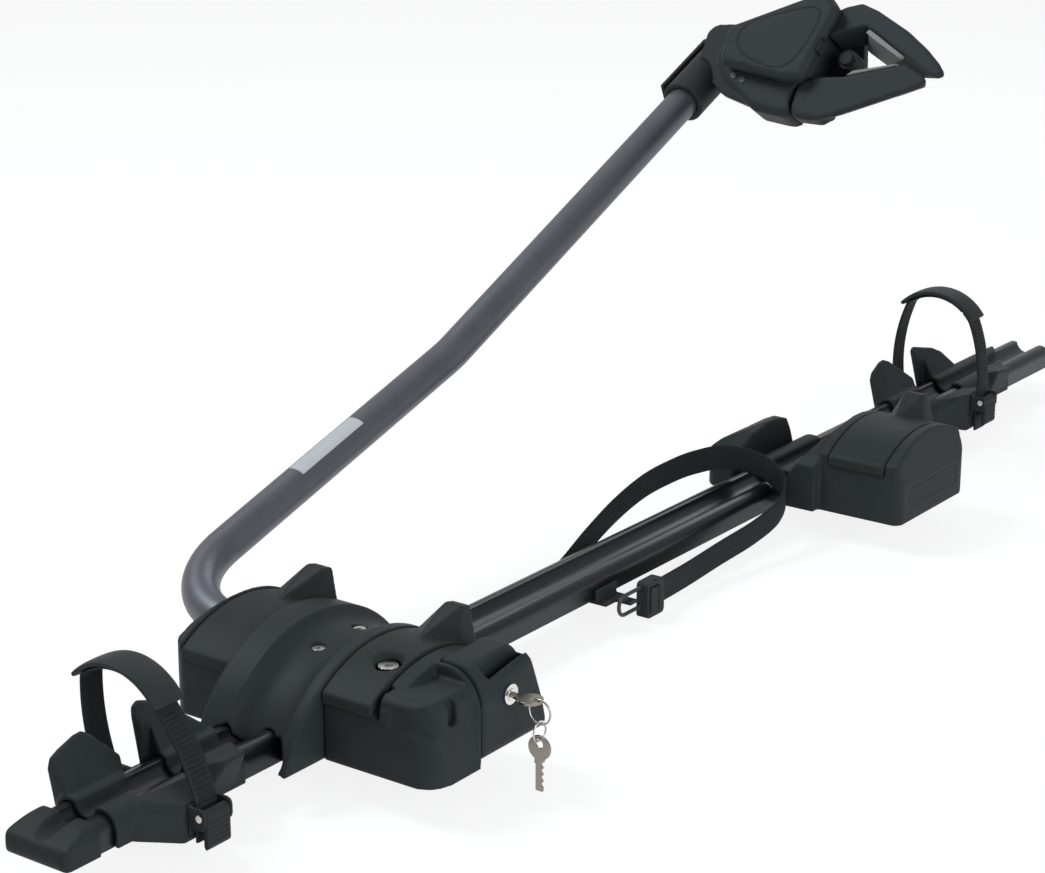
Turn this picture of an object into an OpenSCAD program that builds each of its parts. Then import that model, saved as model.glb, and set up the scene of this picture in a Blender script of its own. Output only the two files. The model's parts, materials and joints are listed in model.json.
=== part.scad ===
// Roof-mounted bike carrier.
// X runs along the rail to its open end, Y to the side of the frame arm, Z up.
// The origin lies in the seat plane under the middle of the front foot.

/* [Rail] */
// Length of the rail
rail_len = 1372; // [1250:1:1500]
// Length of rail in front of the middle of the front foot
rail_front = 262; // [250:1:290]
// Width of the rail
rail_w = 48; // [46:0.5:50]
// Height of the rail at its ridges
rail_h = 21; // [20:0.5:23]
// Wall of the rail
rail_wall = 2; // [1.6:0.1:2.4]
// Radius of the two ridges
ridge_r = 9; // [8:0.5:10]
// Radius of the valley between the ridges
valley_r = 12; // [11:0.5:13]
// Depth of the valley below the ridges
valley_depth = 10; // [8:0.5:11]
// Width of the bolt slot under the rail
slot_w = 9; // [7:0.5:10]

/* [End cap] */
// Length of the cap in front of the rail
cap_nose = 28; // [24:1:32]
// Length of the cap that grips the rail
cap_grip = 10; // [6:1:16]
// Wall of the cap
cap_wall = 4; // [3:0.5:5]
// Height of the cap's front face at the ridges
cap_lip = 17; // [14:0.5:19]

/* [Feet] */
// Distance between the two feet
foot_gap = 648; // [620:1:720]
// Radius of the domes
dome_r = 108; // [104:1:114]
// Height of the top of the domes
dome_top = 72; // [69:0.5:76]
// Half length of the housings along the rail
wing_half = 62.5; // [60:0.5:66]
// Side of the front bridge towards the arm
bridge_left = 36; // [33:0.5:38]
// Side of the front bridge away from the arm
bridge_right = 46; // [43:0.5:48]
// Outer face of the front housing on the arm's side
left_end = 93; // [90:0.5:98]
// Outer face of the front housing on the other side
right_end = 142; // [138:0.5:148]
// Outer face of the rear housing on the other side
rear_right_end = 137; // [134:0.5:144]
// Thickness of the rim beside the left-hand lid
rim_t = 8; // [6:0.5:10]
// Thickness of the lids
lid_t = 6.7; // [6:0.1:7.5]
// Width of the right-hand lid of the front foot
lid_w = 44.5; // [42:0.5:46]
// Width of the lid of the rear foot
rear_lid_w = 55; // [52:0.5:57]
// Width of the shoulder between the front foot's right-hand lid and its box
shoulder_w = 14; // [12:0.5:16]
// Walls of the housings
wall = 4; // [3:0.5:5]
// Floor of the housings
floor_t = 6; // [5:0.5:8]
// Distance of the crossbar bolts from the rail's middle
bar_bolt_y = 64; // [60:0.5:68]
// Radius of the crossbar bolt holes
bar_bolt_r = 4.25; // [3.25:0.05:5.25]
// Distance of the rear lid from the rail's middle
rear_lid_y = 66; // [62:0.5:70]
// Outer face of the rear housing on the arm's side
rear_left_end = 60; // [54:0.5:66]
// Height of the rear housing on the arm's side
rear_left_top = 47; // [42:0.5:54]

/* [Arm] */
// Outer diameter of the arm tube
tube_d = 29; // [27:0.5:30]
// Wall of the arm tube
tube_wall = 2; // [1.5:0.1:2.5]
// Distance of the arm from the rail's middle
arm_y = 168; // [162:1:176]
// Radius of the bend between axle and arm
bend_r = 75; // [70:1:80]
// Axle of the arm, along the rail
axle_x = 4; // [0:0.5:8]
// Axle of the arm, above the seat
axle_z = 46; // [44:0.5:47]
// Slope of the lower part of the arm
arm_slope = 17.1; // [14:0.1:22]
// Extra slope above the kink
kink_angle = 7.3; // [4:0.1:10]
// Length of the arm from axle to kink
arm_lower = 370; // [330:1:400]
// Length of the arm from the kink to the collar
arm_upper = 384; // [350:1:410]
// Length of tube inside the collar
arm_grip = 45; // [35:1:50]

/* [Clamp head] */
// Tilt of the jaws' opening below the horizontal
jaw_tilt = 30; // [25:1:35]
// Thickness of the jaws
jaw_t = 34; // [30:1:38]
// Radius of the round end of the lower jaw
jaw_hub_r = 22; // [20:0.5:24]
// Thickness of the clamp paddle
paddle_t = 14; // [12:0.5:15]
// Outer radius of the collar
collar_r = 20; // [18.5:0.5:21]
// Length of the collar
collar_len = 84; // [70:1:90]

/* [Wheel trays] */
// Middle of the front tray
front_tray_x = -192; // [-196:1:-186]
// Middle of the rear tray
rear_tray_x = 897; // [880:1:960]
// Width of the wheel straps
strap_w = 25; // [22:0.5:26]
// Thickness of the wheel straps
strap_t = 2.4; // [2:0.1:2.8]
// Pitch of the teeth on the toothed straps
tooth_pitch = 4; // [3.5:0.1:5]

/* [Clearances] */
// Gap between pieces that are fixed together
fixed_gap = 0.2; // [0.1:0.05:0.3]
// Gap between pieces that slide or swing past each other
move_gap = 0.4; // [0.3:0.05:0.6]
// Radial gap of turning pins
pin_gap = 0.05; // [0.03:0.01:0.08]

/* [Hidden] */
$fn = 64;

plastic = [0.13, 0.135, 0.135];
plastic_b = [0.16, 0.165, 0.165];
metal_dark = [0.33, 0.34, 0.37];
steel = [0.78, 0.78, 0.76];
rubber = [0.09, 0.09, 0.09];
pad_grey = [0.62, 0.63, 0.64];
brass_grey = [0.55, 0.50, 0.44];

rail_x0 = -rail_front;
ridge_y = rail_w / 2 - ridge_r;
ridge_z = rail_h - ridge_r;
valley_z = rail_h - valley_depth + valley_r;
valley_fill = rail_h - ridge_r / 2;
dome_cz = dome_top - dome_r;
bridge_half = sqrt(dome_r * dome_r - dome_cz * dome_cz);
seat_r = dome_r - lid_t - move_gap;
rim_y = left_end - rim_t - 1;
lid_right = bridge_right + lid_w;
hinge_x = wing_half - 6.5;
hinge_r = dome_r - lid_t / 2;
hinge_z = dome_cz + sqrt(hinge_r * hinge_r - hinge_x * hinge_x);
pin_r = 1.5;
lid_slot_r = lid_t / 2 + move_gap + 0.65;
tube_r = tube_d / 2;
bush_t = 2.5;

// Shapes that several pieces share

// Extrudes an outline drawn in Y and Z along X
module along_x(x0, len) {
  translate([x0, 0, 0]) rotate([90, 0, 90]) linear_extrude(len) children();
}

// Extrudes an outline drawn in X and Z along Y, from y0 to y1
module along_y(y0, y1) {
  translate([0, y1, 0]) rotate([90, 0, 0]) linear_extrude(y1 - y0) children();
}

// A rod along X, Y or Z
module rod_x(r, x0, x1, y, z) {
  translate([x0, y, z]) rotate([0, 90, 0]) cylinder(r = r, h = x1 - x0);
}
module rod_y(r, y0, y1, x, z) {
  translate([x, y1, z]) rotate([90, 0, 0]) cylinder(r = r, h = y1 - y0);
}

// A rectangle between two corners, with a radius for each corner, counter-clockwise from the first
module rounded_rect(a, b, r) {
  corners = [[a[0], a[1]], [b[0], a[1]], [b[0], b[1]], [a[0], b[1]]];
  inward = [[1, 1], [-1, 1], [-1, -1], [1, -1]];
  difference() {
    translate(a) square(b - a);
    for (i = [0:3]) if (r[i] > 0) translate(corners[i] + inward[i] * r[i] / 2)
      square(r[i] + 0.001, center = true);
  }
  for (i = [0:3]) if (r[i] > 0) intersection() {
    translate(corners[i] + inward[i] * r[i]) circle(r[i]);
    translate(corners[i] + inward[i] * r[i] / 2) square(r[i] + 0.002, center = true);
  }
}

// Outline of the rail, grown all round by g
module rail_outline(g = 0) {
  difference() {
    union() {
      for (s = [-1, 1]) translate([s * ridge_y, ridge_z]) circle(ridge_r + g);
      translate([-rail_w / 2 - g, -g]) square([rail_w + 2 * g, ridge_z + g]);
      translate([-ridge_y, -g]) square([2 * ridge_y, valley_fill + g]);
    }
    translate([0, valley_z]) circle(valley_r - g);
  }
}

// A slice of a cylinder about Y whose top is the dome, from y0 to y1
module dome_slice(r, y0, y1, x0, x1) {
  intersection() {
    rod_y(r, y0, y1, 0, dome_cz);
    translate([x0, y0 - 1, 0]) cube([x1 - x0, y1 - y0 + 2, dome_top + dome_r]);
  }
}

// Ring sector about a point of the plane, between two radii and two angles
module ring_sector(c, r0, r1, a0, a1) {
  reach = 2 * r1;
  translate(c) intersection() {
    difference() {
      circle(r1, $fn = 160);
      circle(r0, $fn = 160);
    }
    polygon(concat([[0, 0]], [for (i = [0:4]) reach * [cos(a0 + (a1 - a0) * i / 4), sin(a0 + (a1 - a0)
      * i / 4)]]));
  }
}

// Centre of the circle of radius r through p and q, to the left of the way from p to q
function arc_centre(p, q, r) =
  let (d = q - p, l = norm(d), h = sqrt(r * r - l * l / 4))
  (p + q) / 2 + h * [-d[1], d[0]] / l;
function direction(c, p) = atan2(p[1] - c[1], p[0] - c[0]);

// Rail and its end cap

module rail() {
  color(metal_dark) difference() {
    along_x(rail_x0, rail_len) difference() {
      rail_outline(0);
      rail_outline(-rail_wall);
      translate([-slot_w / 2, -1]) square([slot_w, rail_wall + 2]);
    }
  }
}

module rail_end_cap() {
  nose_x = rail_x0 - cap_nose;
  half = rail_w / 2 + cap_wall;
  skin = 1.6;
  valley = rail_h - valley_depth + skin;
  corner = 6;
  color(plastic_b) difference() {
    intersection() {
      union() {
        along_x(nose_x, cap_nose + cap_grip) rail_outline(cap_wall);
        along_y(-ridge_y, ridge_y) polygon([[nose_x, 0], [nose_x, cap_lip - 2], [rail_x0 - 2, valley],
          [rail_x0 - 2, 0]]);
      }
      along_y(-rail_w, rail_w) polygon([[nose_x + 3, 0], [nose_x + 1, 3], [nose_x, 7],
        [nose_x + 0.5, cap_lip - 6], [nose_x + 3, cap_lip - 2.5],
        [nose_x + 8, cap_lip], [rail_x0 - 6, rail_h + skin - 0.6], [rail_x0, rail_h + skin],
        [rail_x0 + cap_grip, rail_h + skin], [rail_x0 + cap_grip, 0]]);
      linear_extrude(rail_h * 2) rounded_rect([nose_x, -half], [rail_x0 + cap_grip, half],
        [corner, 0, 0, corner]);
    }
    along_x(rail_x0 - fixed_gap, cap_grip + 1) rail_outline(fixed_gap);
  }
}

// Feet

// Torus cut that leaves a trough between two ribs
module trough() {
  trough_r = 52;
  trough_depth = 8;
  trough_y = -16;
  translate([0, trough_y, dome_cz]) rotate([90, 0, 0])
    rotate_extrude($fn = 128) translate([dome_r + trough_r - trough_depth, 0]) circle(trough_r);
}

screw_x = 22;
screw_y = -9;
screw_seat = dome_top - 15.5;
module front_bridge() {
  lobe_r = 12;
  crown = 4;
  crown_y = 0;
  color(plastic) difference() {
    union() {
      dome_slice(dome_r + 1, -bridge_right, crown_y + 1, -bridge_half - 2, bridge_half + 2);
      dome_slice(dome_r + crown, crown_y, bridge_left, -bridge_half - 2, bridge_half + 2);
    }
    trough();
    along_x(-bridge_half - 4, 2 * bridge_half + 8) rail_outline(fixed_gap);
    along_x(-bridge_half - 4, 24) translate([-rail_w / 2 - 4, rail_h - lobe_r - 2]) circle(lobe_r);
    for (s = [-1, 1]) translate([s * screw_x, screw_y, screw_seat]) {
      cylinder(r = 5.2, h = dome_top);
      translate([0, 0, rail_h - screw_seat]) cylinder(r = 2.6, h = screw_seat);
    }
    rod_y(pin_r + pin_gap, bridge_left - 6, bridge_left + 1, hinge_x, hinge_z);
    rod_y(pin_r + pin_gap, -bridge_right - 1, 6 - bridge_right, hinge_x, hinge_z);
    rod_y(bolt_r + pin_gap, -bridge_right - 1, bridge_left + 1, axle_x, axle_z);
  }
}

bolt_r = 5;

// Hollow under a lid, between two sides
module lid_well(y0, y1) {
  translate([-wing_half + wall, y0 + wall, floor_t]) cube([2 * (wing_half - wall)
    - 10, y1 - y0 - 2 * wall, dome_top]);
}

// Shell of a lid with its fin and hinge barrel, between two sides
module lid_shell(y0, y1, apex, base, fin_top) {
  g = move_gap;
  front_x = -wing_half - 1.5;
  fin_x = [40, 48];
  span = y1 - y0;
  difference() {
    union() {
      difference() {
        dome_slice(dome_r, y0 + g, y1 - g, front_x, hinge_x);
        rod_y(dome_r - lid_t, y0 - 1, y1 + 1, 0, dome_cz);
      }
      rod_y(lid_t / 2, y0 + g, y1 - g, hinge_x, hinge_z);
      intersection() {
        hull() {
          for (p = [[31, base[1], 65], [10, (base[0] + base[1]) / 2, 69], [34, base[0], 64], [54, base[0],
            56], [54, 0.8, 56],
              [fin_x[0], apex[1], fin_top], [fin_x[0], apex[0], fin_top],
              [fin_x[1], apex[1], fin_top - 2], [fin_x[1], apex[0], fin_top - 2]])
            translate([p[0], y0 + g + 1 + p[1] * (span - 2 * g - 2), p[2]]) cube(1.2, center = true);
        }
        difference() {
          translate([-wing_half, y0 + g, 0]) cube([2 * wing_half, span - 2 * g, 200]);
          rod_y(dome_r - lid_t, y0 - 1, y1 + 1, 0, dome_cz);
        }
      }
    }
    rod_y(pin_r + pin_gap, y0 - 1, y1 + 1, hinge_x, hinge_z);
  }
}

// Parting groove round the front face of a housing
module parting_groove(y0, y1, groove_z) {
  groove = 1.2;
  translate([-wing_half - 1, y0, groove_z]) cube([2, y1 - y0, groove]);
}

module front_left_housing() {
  inner = bridge_left + fixed_gap;
  corner = 16;
  bulge = 3.5;
  color(plastic) difference() {
    union() {
      dome_slice(seat_r, inner, rim_y + 1, -wing_half, wing_half);
      intersection() {
        dome_slice(dome_r + 1, rim_y, left_end + bulge, -wing_half, wing_half);
        linear_extrude(dome_top + 2)
          rounded_rect([-wing_half, rim_y - corner], [wing_half, left_end + bulge], [0, 0, corner, corner]);
        along_x(-wing_half - 1, 2 * wing_half + 2) polygon([[rim_y, 0], [left_end + bulge - 1, 0],
          [left_end + bulge, 6],
          [left_end + bulge - 1, 18], [left_end, 38], [left_end - 2, dome_top - 10],
            [left_end - 6, dome_top], [rim_y, dome_top + 2]]);
      }
      rod_y(tube_r + bush_t + 3, rim_y, left_end + 1, axle_x, axle_z);
    }
    lid_well(inner, rim_y);
    rod_y(tube_r + bush_t + fixed_gap / 2, inner - 1, left_end + 3, axle_x, axle_z);
    rod_y(pin_r + pin_gap, rim_y - 1, rim_y + 5, hinge_x, hinge_z);
    rod_y(lid_slot_r, inner - 1, rim_y, hinge_x, hinge_z);
    translate([0, bar_bolt_y, -1]) cylinder(r = bar_bolt_r, h = floor_t + 2);
    parting_groove(inner - 1, left_end + bulge + 1, 37);
  }
}

flap_x0 = -8;
flap_x1 = wing_half - 5;
flap_r = 28;
rib_t = 4;
flap_y = -right_end + 14;
flap_z = 8;
partition_y = lid_right + shoulder_w;
block_y = lid_right + 5;
box_top = 60;
lug_x = [[8, 14], [38, 44]];

// Box at the outer end of a housing, between two places along the rail
module end_box(x0, x1, top) {
  corner = 20;
  belt = 38;
  draft = 5;
  for (z = [[0, belt, 0], [belt - 1, top, 2]]) intersection() {
    linear_extrude(top + 1) rounded_rect([x0 + z[2], -right_end + z[2]], [x1, -block_y], [corner, 0, 0, 0]);
    along_x(x0 - 1, x1 - x0 + 2) intersection() {
      translate([-right_end - 1, z[0]]) square([right_end, z[1] - z[0]]);
      polygon([[-right_end, 0], [-block_y, 0], [-block_y, top], [-right_end + draft + 6, top],
        [-right_end + draft, top - 6]]);
    }
    along_y(-right_end - 1, -block_y + 1) polygon([[x0, 0], [x1, 0], [x1, top], [x0 + 7, top],
      [x0, top - 6]]);
  }
}

module front_right_housing() {
  outer = -bridge_right - fixed_gap;
  base_t = 2.5;
  color(plastic) difference() {
    union() {
      dome_slice(seat_r, -lid_right, outer, -wing_half, wing_half);
      dome_slice(dome_r - 2, -partition_y, -lid_right, -wing_half, wing_half);
      end_box(-wing_half, flap_x0 - 1, box_top);
      along_x(flap_x0 - rib_t, rib_t) rounded_rect([-right_end + 1, 0], [-partition_y + 1, flap_top - 3],
        [8, 0, 0, flap_r]);
      translate([flap_x0 - 1, flap_y + 5, 0]) cube([wing_half - flap_x0 - 6, -partition_y - flap_y - 4,
        base_t]);
      for (x = lug_x) along_x(x[0], x[1] - x[0]) {
        translate([flap_y, flap_z]) circle(5);
        translate([flap_y, flap_z - 3]) square([-partition_y + 1 - flap_y, 8]);
      }
    }
    lid_well(-lid_right, outer);
    rod_y(bolt_r + 5, outer - 8, outer + 1, axle_x, axle_z);
    rod_y(pin_r + pin_gap, -lid_right - 7, -lid_right + 1, hinge_x, hinge_z);
    rod_y(lid_slot_r, -lid_right, outer + 1, hinge_x, hinge_z);
    rod_x(2 + pin_gap, lug_x[0][0] - 1, wing_half + 1, flap_y, flap_z);
    translate([0, -bar_bolt_y, -1]) cylinder(r = bar_bolt_r, h = floor_t + 2);
    parting_groove(-lid_right, outer + 1, 37);
    translate([-40, -right_end - 1, 40]) cube([9, 12, 17]);
    translate([-wing_half - 1, -block_y, 42]) cube([20, block_y - lid_right, dome_top]);
  }
}

bolt_x = -26;
bolt_y = -75;
bolt_recess_r = 9;
module front_left_lid() {
  color(plastic_b) lid_shell(bridge_left, rim_y, [0, 0.34], [0, 0.88], dome_top + 18);
}

module front_right_lid() {
  bolt_z = dome_cz + sqrt(dome_r * dome_r - bolt_x * bolt_x);
  color(plastic_b) difference() {
    lid_shell(-lid_right, -bridge_right, [0.02, 0.36], [0, 0.88], dome_top + 18);
    translate([bolt_x, bolt_y, bolt_z]) rotate([0, -15, 0]) translate([0, 0, -3.5])
      cylinder(r1 = 9.5, r2 = 15.5, h = 7);
    translate([bolt_x, bolt_y, bolt_z - 20]) cylinder(r = bolt_recess_r, h = 20);
  }
}

module lid_pins() {
  color(steel) {
    rod_y(pin_r, bridge_left - 5, rim_y + 4, hinge_x, hinge_z);
    rod_y(pin_r, -lid_right - 6, 5 - bridge_right, hinge_x, hinge_z);
  }
}

module trough_screws() {
  head_h = 4;
  shank = screw_seat - rail_h - 2;
  color(steel) for (s = [-1, 1]) translate([s * screw_x, screw_y, screw_seat]) difference() {
    union() {
      cylinder(r = 4.9, h = head_h);
      translate([0, 0, -shank]) cylinder(r = 2.4, h = shank + 1);
    }
    translate([0, 0, head_h - 2]) cylinder(r = 2.2, h = 3, $fn = 6);
  }
}

module lid_bolt() {
  head_h = 6;
  bolt_z = dome_cz + sqrt(seat_r * seat_r - bolt_x * bolt_x) - 1.5;
  color(steel) translate([bolt_x, bolt_y, floor_t]) difference() {
    union() {
      cylinder(r = 4, h = bolt_z - floor_t, $fn = 32);
      translate([0, 0, bolt_z - floor_t - 1]) cylinder(r = 7.2, h = head_h);
    }
    translate([0, 0, bolt_z - floor_t - 1 + head_h - 3]) cylinder(r = 3.2, h = 4, $fn = 6);
  }
}

module axle_bushes() {
  color(rubber) for (y = [[bridge_left + fixed_gap, bridge_left + wall + fixed_gap],
    [rim_y, left_end + 1]]) difference() {
    rod_y(tube_r + bush_t, y[0], y[1], axle_x, axle_z);
    rod_y(tube_r + pin_gap, y[0] - 1, y[1] + 1, axle_x, axle_z);
  }
}

// Lock flap, lock and keys

lock_face = -right_end + 0.5;
flap_in = -partition_y - 1.5;
flap_top = 73;
lock_x = 22.5;
lock_z = 44;
lock_r = 5.6;
slot_x = [2, 47];
slot_y = [4, 12.5];
lip_z = 66;
module lock_flap() {
  x0 = flap_x0 + move_gap;
  skin = 8;
  color(plastic) difference() {
    intersection() {
      hull() for (e = [[x0, flap_r], [flap_x1 + 10, 9]]) along_x(e[0], 0.5)
        rounded_rect([lock_face, flap_z - 5], [flap_in, flap_top], [8, 3, 3, e[1]]);
      along_y(lock_face - 1, flap_in + 1) polygon([[x0, 0], [flap_x1 + 9, 0], [flap_x1 + 8, 12],
        [flap_x1 + 4, 28],
        [flap_x1 - 7, flap_top - 16], [flap_x1 - 12, flap_top - 6], [flap_x1 - 19, flap_top],
          [x0 + 3, flap_top], [x0, flap_top - 3]]);
    }
    translate([slot_x[0], lock_face - 1, lip_z]) cube([60, slot_y[1] + 1, 20]);
    translate([slot_x[0], lock_face + slot_y[0], lip_z - 15]) linear_extrude(40)
      rounded_rect([0, 0], [slot_x[1] - slot_x[0], slot_y[1] - slot_y[0]], [3, 3, 3, 3]);
    translate([lug_x[0][0] - 2, lock_face + skin, -1]) cube([lug_x[1][1] - lug_x[0][0] + 4, 60, 28]);
    rod_x(2 + pin_gap, x0 - 1, flap_x1 + 10, flap_y, flap_z);
    rod_y(lock_r + fixed_gap, lock_face - 1, flap_in + 1, lock_x, lock_z);
  }
}

module flap_pin() {
  color(steel) rod_x(2, flap_x0 + 4, flap_x1 - 4, flap_y, flap_z);
}

plug_r = 4.2;
module lock_barrel() {
  color(steel) difference() {
    union() {
      rod_y(lock_r, lock_face, flap_in - 2, lock_x, lock_z);
      rod_y(lock_r + 1.8, lock_face - 2, lock_face - fixed_gap, lock_x, lock_z);
    }
    rod_y(plug_r + pin_gap, lock_face - 3, flap_in - 6, lock_x, lock_z);
  }
}

key_t = 2;
key_w = 5.6;
module lock_plug() {
  color(steel) difference() {
    rod_y(plug_r, lock_face - 2.5, flap_in - 7, lock_x, lock_z);
    translate([lock_x, lock_face, lock_z]) cube([key_w + 2 * fixed_gap, 40, key_t + 2 * fixed_gap],
      center = true);
  }
}

bow_r = 9;
bow_web = 2.6;
ring_wire = 0.75;
ring_r = 9;
ring2_r = 7;
bow_y = lock_face - 3 - 6 - bow_r;
hole_r = 3.4;
hole_at = bow_r - bow_web - hole_r;

// Flat outline of a key with its tip along Y, its bow at the origin
module key_outline(blade) {
  difference() {
    union() {
      circle(bow_r);
      translate([-key_w / 2, 0]) square([key_w, bow_r + blade]);
      translate([-key_w / 2 - 1, bow_r - 2]) square([key_w + 2, 5]);
    }
    translate([0, -hole_at]) circle(hole_r);
    for (i = [0:3]) translate([key_w / 2 + 0.6, bow_r + blade - 5 - 5 * i]) circle(2);
  }
}

module lock_key() {
  blade = 22;
  color(brass_grey) translate([lock_x, bow_y, lock_z - key_t / 2]) linear_extrude(key_t) key_outline(blade);
}

// Rings hang in each other: the first through the key's bow, the second holds the spare key
ring_lift = 0.15;
ring_y = bow_y - bow_r + bow_web / 2;
ring_z = lock_z + key_t / 2 + ring_lift - (ring_r - ring_wire);
ring2_z = ring_z - ring_r + 2 * ring_wire + 0.4 - ring2_r;
module key_rings() {
  color(steel) {
    translate([lock_x, ring_y, ring_z]) rotate([0, 90, 0]) rotate_extrude() translate([ring_r, 0])
      circle(ring_wire, $fn = 24);
    translate([lock_x, ring_y, ring2_z]) rotate([90, 0, 0]) rotate_extrude() translate([ring2_r, 0])
      circle(ring_wire, $fn = 24);
  }
}

module spare_key() {
  top_gap = hole_r - ring_wire - 0.5;
  hang_z = ring2_z - ring2_r - top_gap;
  color(brass_grey) translate([lock_x - key_t / 2, ring_y, hang_z - hole_at])
    rotate([90, 0, 90]) linear_extrude(key_t) rotate(180) key_outline(23);
}

// Frame arm

// Puts its children in the frame of the lower part of the arm: X along the tube, the axle along Y
module arm_frame() {
  translate([axle_x, 0, axle_z]) rotate([0, -arm_slope, 0]) children();
}

// Puts its children in the frame of the upper part of the arm, at the kink
module upper_arm_frame() {
  arm_frame() translate([arm_lower, arm_y, 0]) rotate([0, -kink_angle, 0]) children();
}

// The bent bar of the arm, with radius r
module arm_bar(r, end) {
  kink_r = 160;
  kink_cut = kink_r * tan(kink_angle / 2);
  arm_frame() {
    rod_y(r, bridge_left + 1 - end, arm_y - bend_r, 0, 0);
    translate([bend_r, arm_y - bend_r, 0]) rotate([0, 0, 90])
      rotate_extrude(angle = 90, $fn = 96) translate([bend_r, 0]) circle(r);
    rod_x(r, bend_r, arm_lower - kink_cut, arm_y, 0);
    translate([arm_lower - kink_cut, arm_y, kink_r]) rotate([90, 0, 0]) rotate([0, 0, -90])
      rotate_extrude(angle = kink_angle, $fn = 360) translate([kink_r, 0]) circle(r);
  }
  upper_arm_frame() rod_x(r, kink_cut, arm_upper + arm_grip + end, 0, 0);
}

module arm_tube() {
  color(metal_dark) difference() {
    arm_bar(tube_r, 0);
    arm_bar(tube_r - tube_wall, 1);
  }
}

plug_len = 24;
module axle_plug() {
  color(steel) difference() {
    rod_y(tube_r - tube_wall - fixed_gap, bridge_left + 1, bridge_left + 1 + plug_len, axle_x, axle_z);
    rod_y(bolt_r, bridge_left, bridge_left + 2 + plug_len, axle_x, axle_z);
  }
}

module pivot_bolt() {
  head_h = 5;
  head_y = -bridge_right - move_gap;
  color(steel) {
    rod_y(bolt_r - 0.02, head_y, bridge_left + plug_len - 2, axle_x, axle_z);
    translate([axle_x, head_y, axle_z]) rotate([90, 0, 0]) cylinder(r = 8, h = head_h, $fn = 6);
  }
}

// Clamp head
// Its own frame: X across the arm towards the jaws, Y up the jaws' opening, Z back along the opening
arm_end = [axle_x + arm_lower * cos(arm_slope) + arm_upper * cos(arm_slope + kink_angle), arm_y,
  axle_z + arm_lower * sin(arm_slope) + arm_upper * sin(arm_slope + kink_angle)];
head_at = arm_end + [17.65, -188, 55.57];
module head_frame() {
  translate(head_at) rotate([0, jaw_tilt, 0]) rotate([90, 0, -90]) children();
}

jaw_front = 14;
jaw_back = jaw_front - jaw_t;
shell_front = 12;
hub_at = [-44, -46];
hub_half = 8;
pin_cover = 6;
jaw_taper = 0.62;

// Slab with rounded outline and bevelled front edge, round a list of circles [x, y, r]
module slab(circles, z0, z1, bevel) {
  hull() for (c = circles) translate([c[0], c[1], z0]) {
    cylinder(r = c[2], h = z1 - z0 - bevel, $fn = 32);
    cylinder(r = c[2] - bevel, h = z1 - z0, $fn = 32);
  }
}

module head_collar() {
  cap_t = 5;
  top = arm_upper + collar_len;
  lever_half = 9;
  color(plastic) upper_arm_frame() difference() {
    union() {
      rod_x(collar_r, arm_upper, top, 0, 0);
      for (s = [-1, 1]) translate([top - 1, lever_pivot - 5,
        s > 0 ? lever_half + move_gap : -lever_half - move_gap - 4])
        cube([10, 10, 4]);
    }
    rod_x(tube_r + fixed_gap, arm_upper - 1, top - cap_t, 0, 0);
    translate([lever_s + 1.5, lever_pivot, -20]) cylinder(r = pin_r + pin_gap, h = 40);
  }
}

lever_s = arm_upper + collar_len + 3;
lever_gap = 4.2;
lever_pivot = -6;
module collar_lever() {
  lever_w = 18;
  lever_t = 4;
  y1 = collar_r + lever_gap;
  color(plastic_b) upper_arm_frame() difference() {
    union() {
      translate([arm_upper + 10, y1, -lever_w / 2]) cube([lever_s - arm_upper - 10 + 4, lever_t, lever_w]);
      translate([lever_s - 1, lever_pivot - 5, -lever_w / 2]) cube([5, y1 - lever_pivot + 6, lever_w]);
      translate([lever_s + 1.5, lever_pivot, -lever_w / 2]) cylinder(r = 4, h = lever_w);
    }
    translate([lever_s + 1.5, lever_pivot, -lever_w]) cylinder(r = pin_r + pin_gap, h = 2 * lever_w);
  }
}

module collar_pin() {
  color(steel) upper_arm_frame() translate([lever_s + 1.5, lever_pivot, -13]) cylinder(r = pin_r, h = 26);
}

// Room for the collar and its lever in the shells
module collar_room() {
  upper_arm_frame() {
    rod_x(collar_r + fixed_gap, arm_upper - 60, arm_upper + collar_len + fixed_gap, 0, 0);
    translate([arm_upper + collar_len, -14, -14]) cube([30, 60, 28]);
  }
}

module head_front_shell() {
  lug = 6;
  color(plastic) difference() {
    union() {
      head_frame() difference() {
        slab([[-142, -14, 13], [-128, -30, 13], [-96, -46, 16], [-72, -48, 16], [-60, 34, 14],
          [-112, 16, 13]],
          jaw_back - 0.3, shell_front, 5);
        translate([hub_at[0], hub_at[1], -60]) cylinder(r = jaw_hub_r + move_gap, h = 120);
        translate([hub_at[0] - 4, hub_at[1] - 60, -60]) cube([60, 64, 120]);
        translate([-46, -60, -60]) cube([60, 160, 120]);
      }
      paddle_frame() translate([-4, -lug, paddle_back - 6]) cube([8, 2 * lug, 6 - paddle_back]);
      paddle_frame() rotate([90, 0, 0]) translate([0, 0, -lug]) cylinder(r = 4, h = 2 * lug);
    }
    paddle_frame() rotate([90, 0, 0]) translate([0, 0, -60]) cylinder(r = 2 + pin_gap, h = 120);
    collar_room();
  }
}

module head_rear_shell() {
  depth = 10;
  color(plastic_b) difference() {
    head_frame() difference() {
      slab([[-176, -10, 14], [-176, 11, 14], [-150, -28, 14], [-96, -43, 12], [-50, -42, 12],
        [-30, -4, 10], [-40, 26, 11],
          [-120, 18, 14]],
        jaw_back - depth - 0.6, jaw_back - 0.6, 0.1);
      translate([hub_at[0], hub_at[1], jaw_back - 20]) cylinder(r = 4 + pin_gap, h = 40);
    }
    collar_room();
  }
}

paddle_at = [-49, 1, 20];
paddle_turn = -13.7;
module paddle_frame() {
  head_frame() translate(paddle_at) rotate([0, 0, paddle_turn]) children();
}

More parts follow.
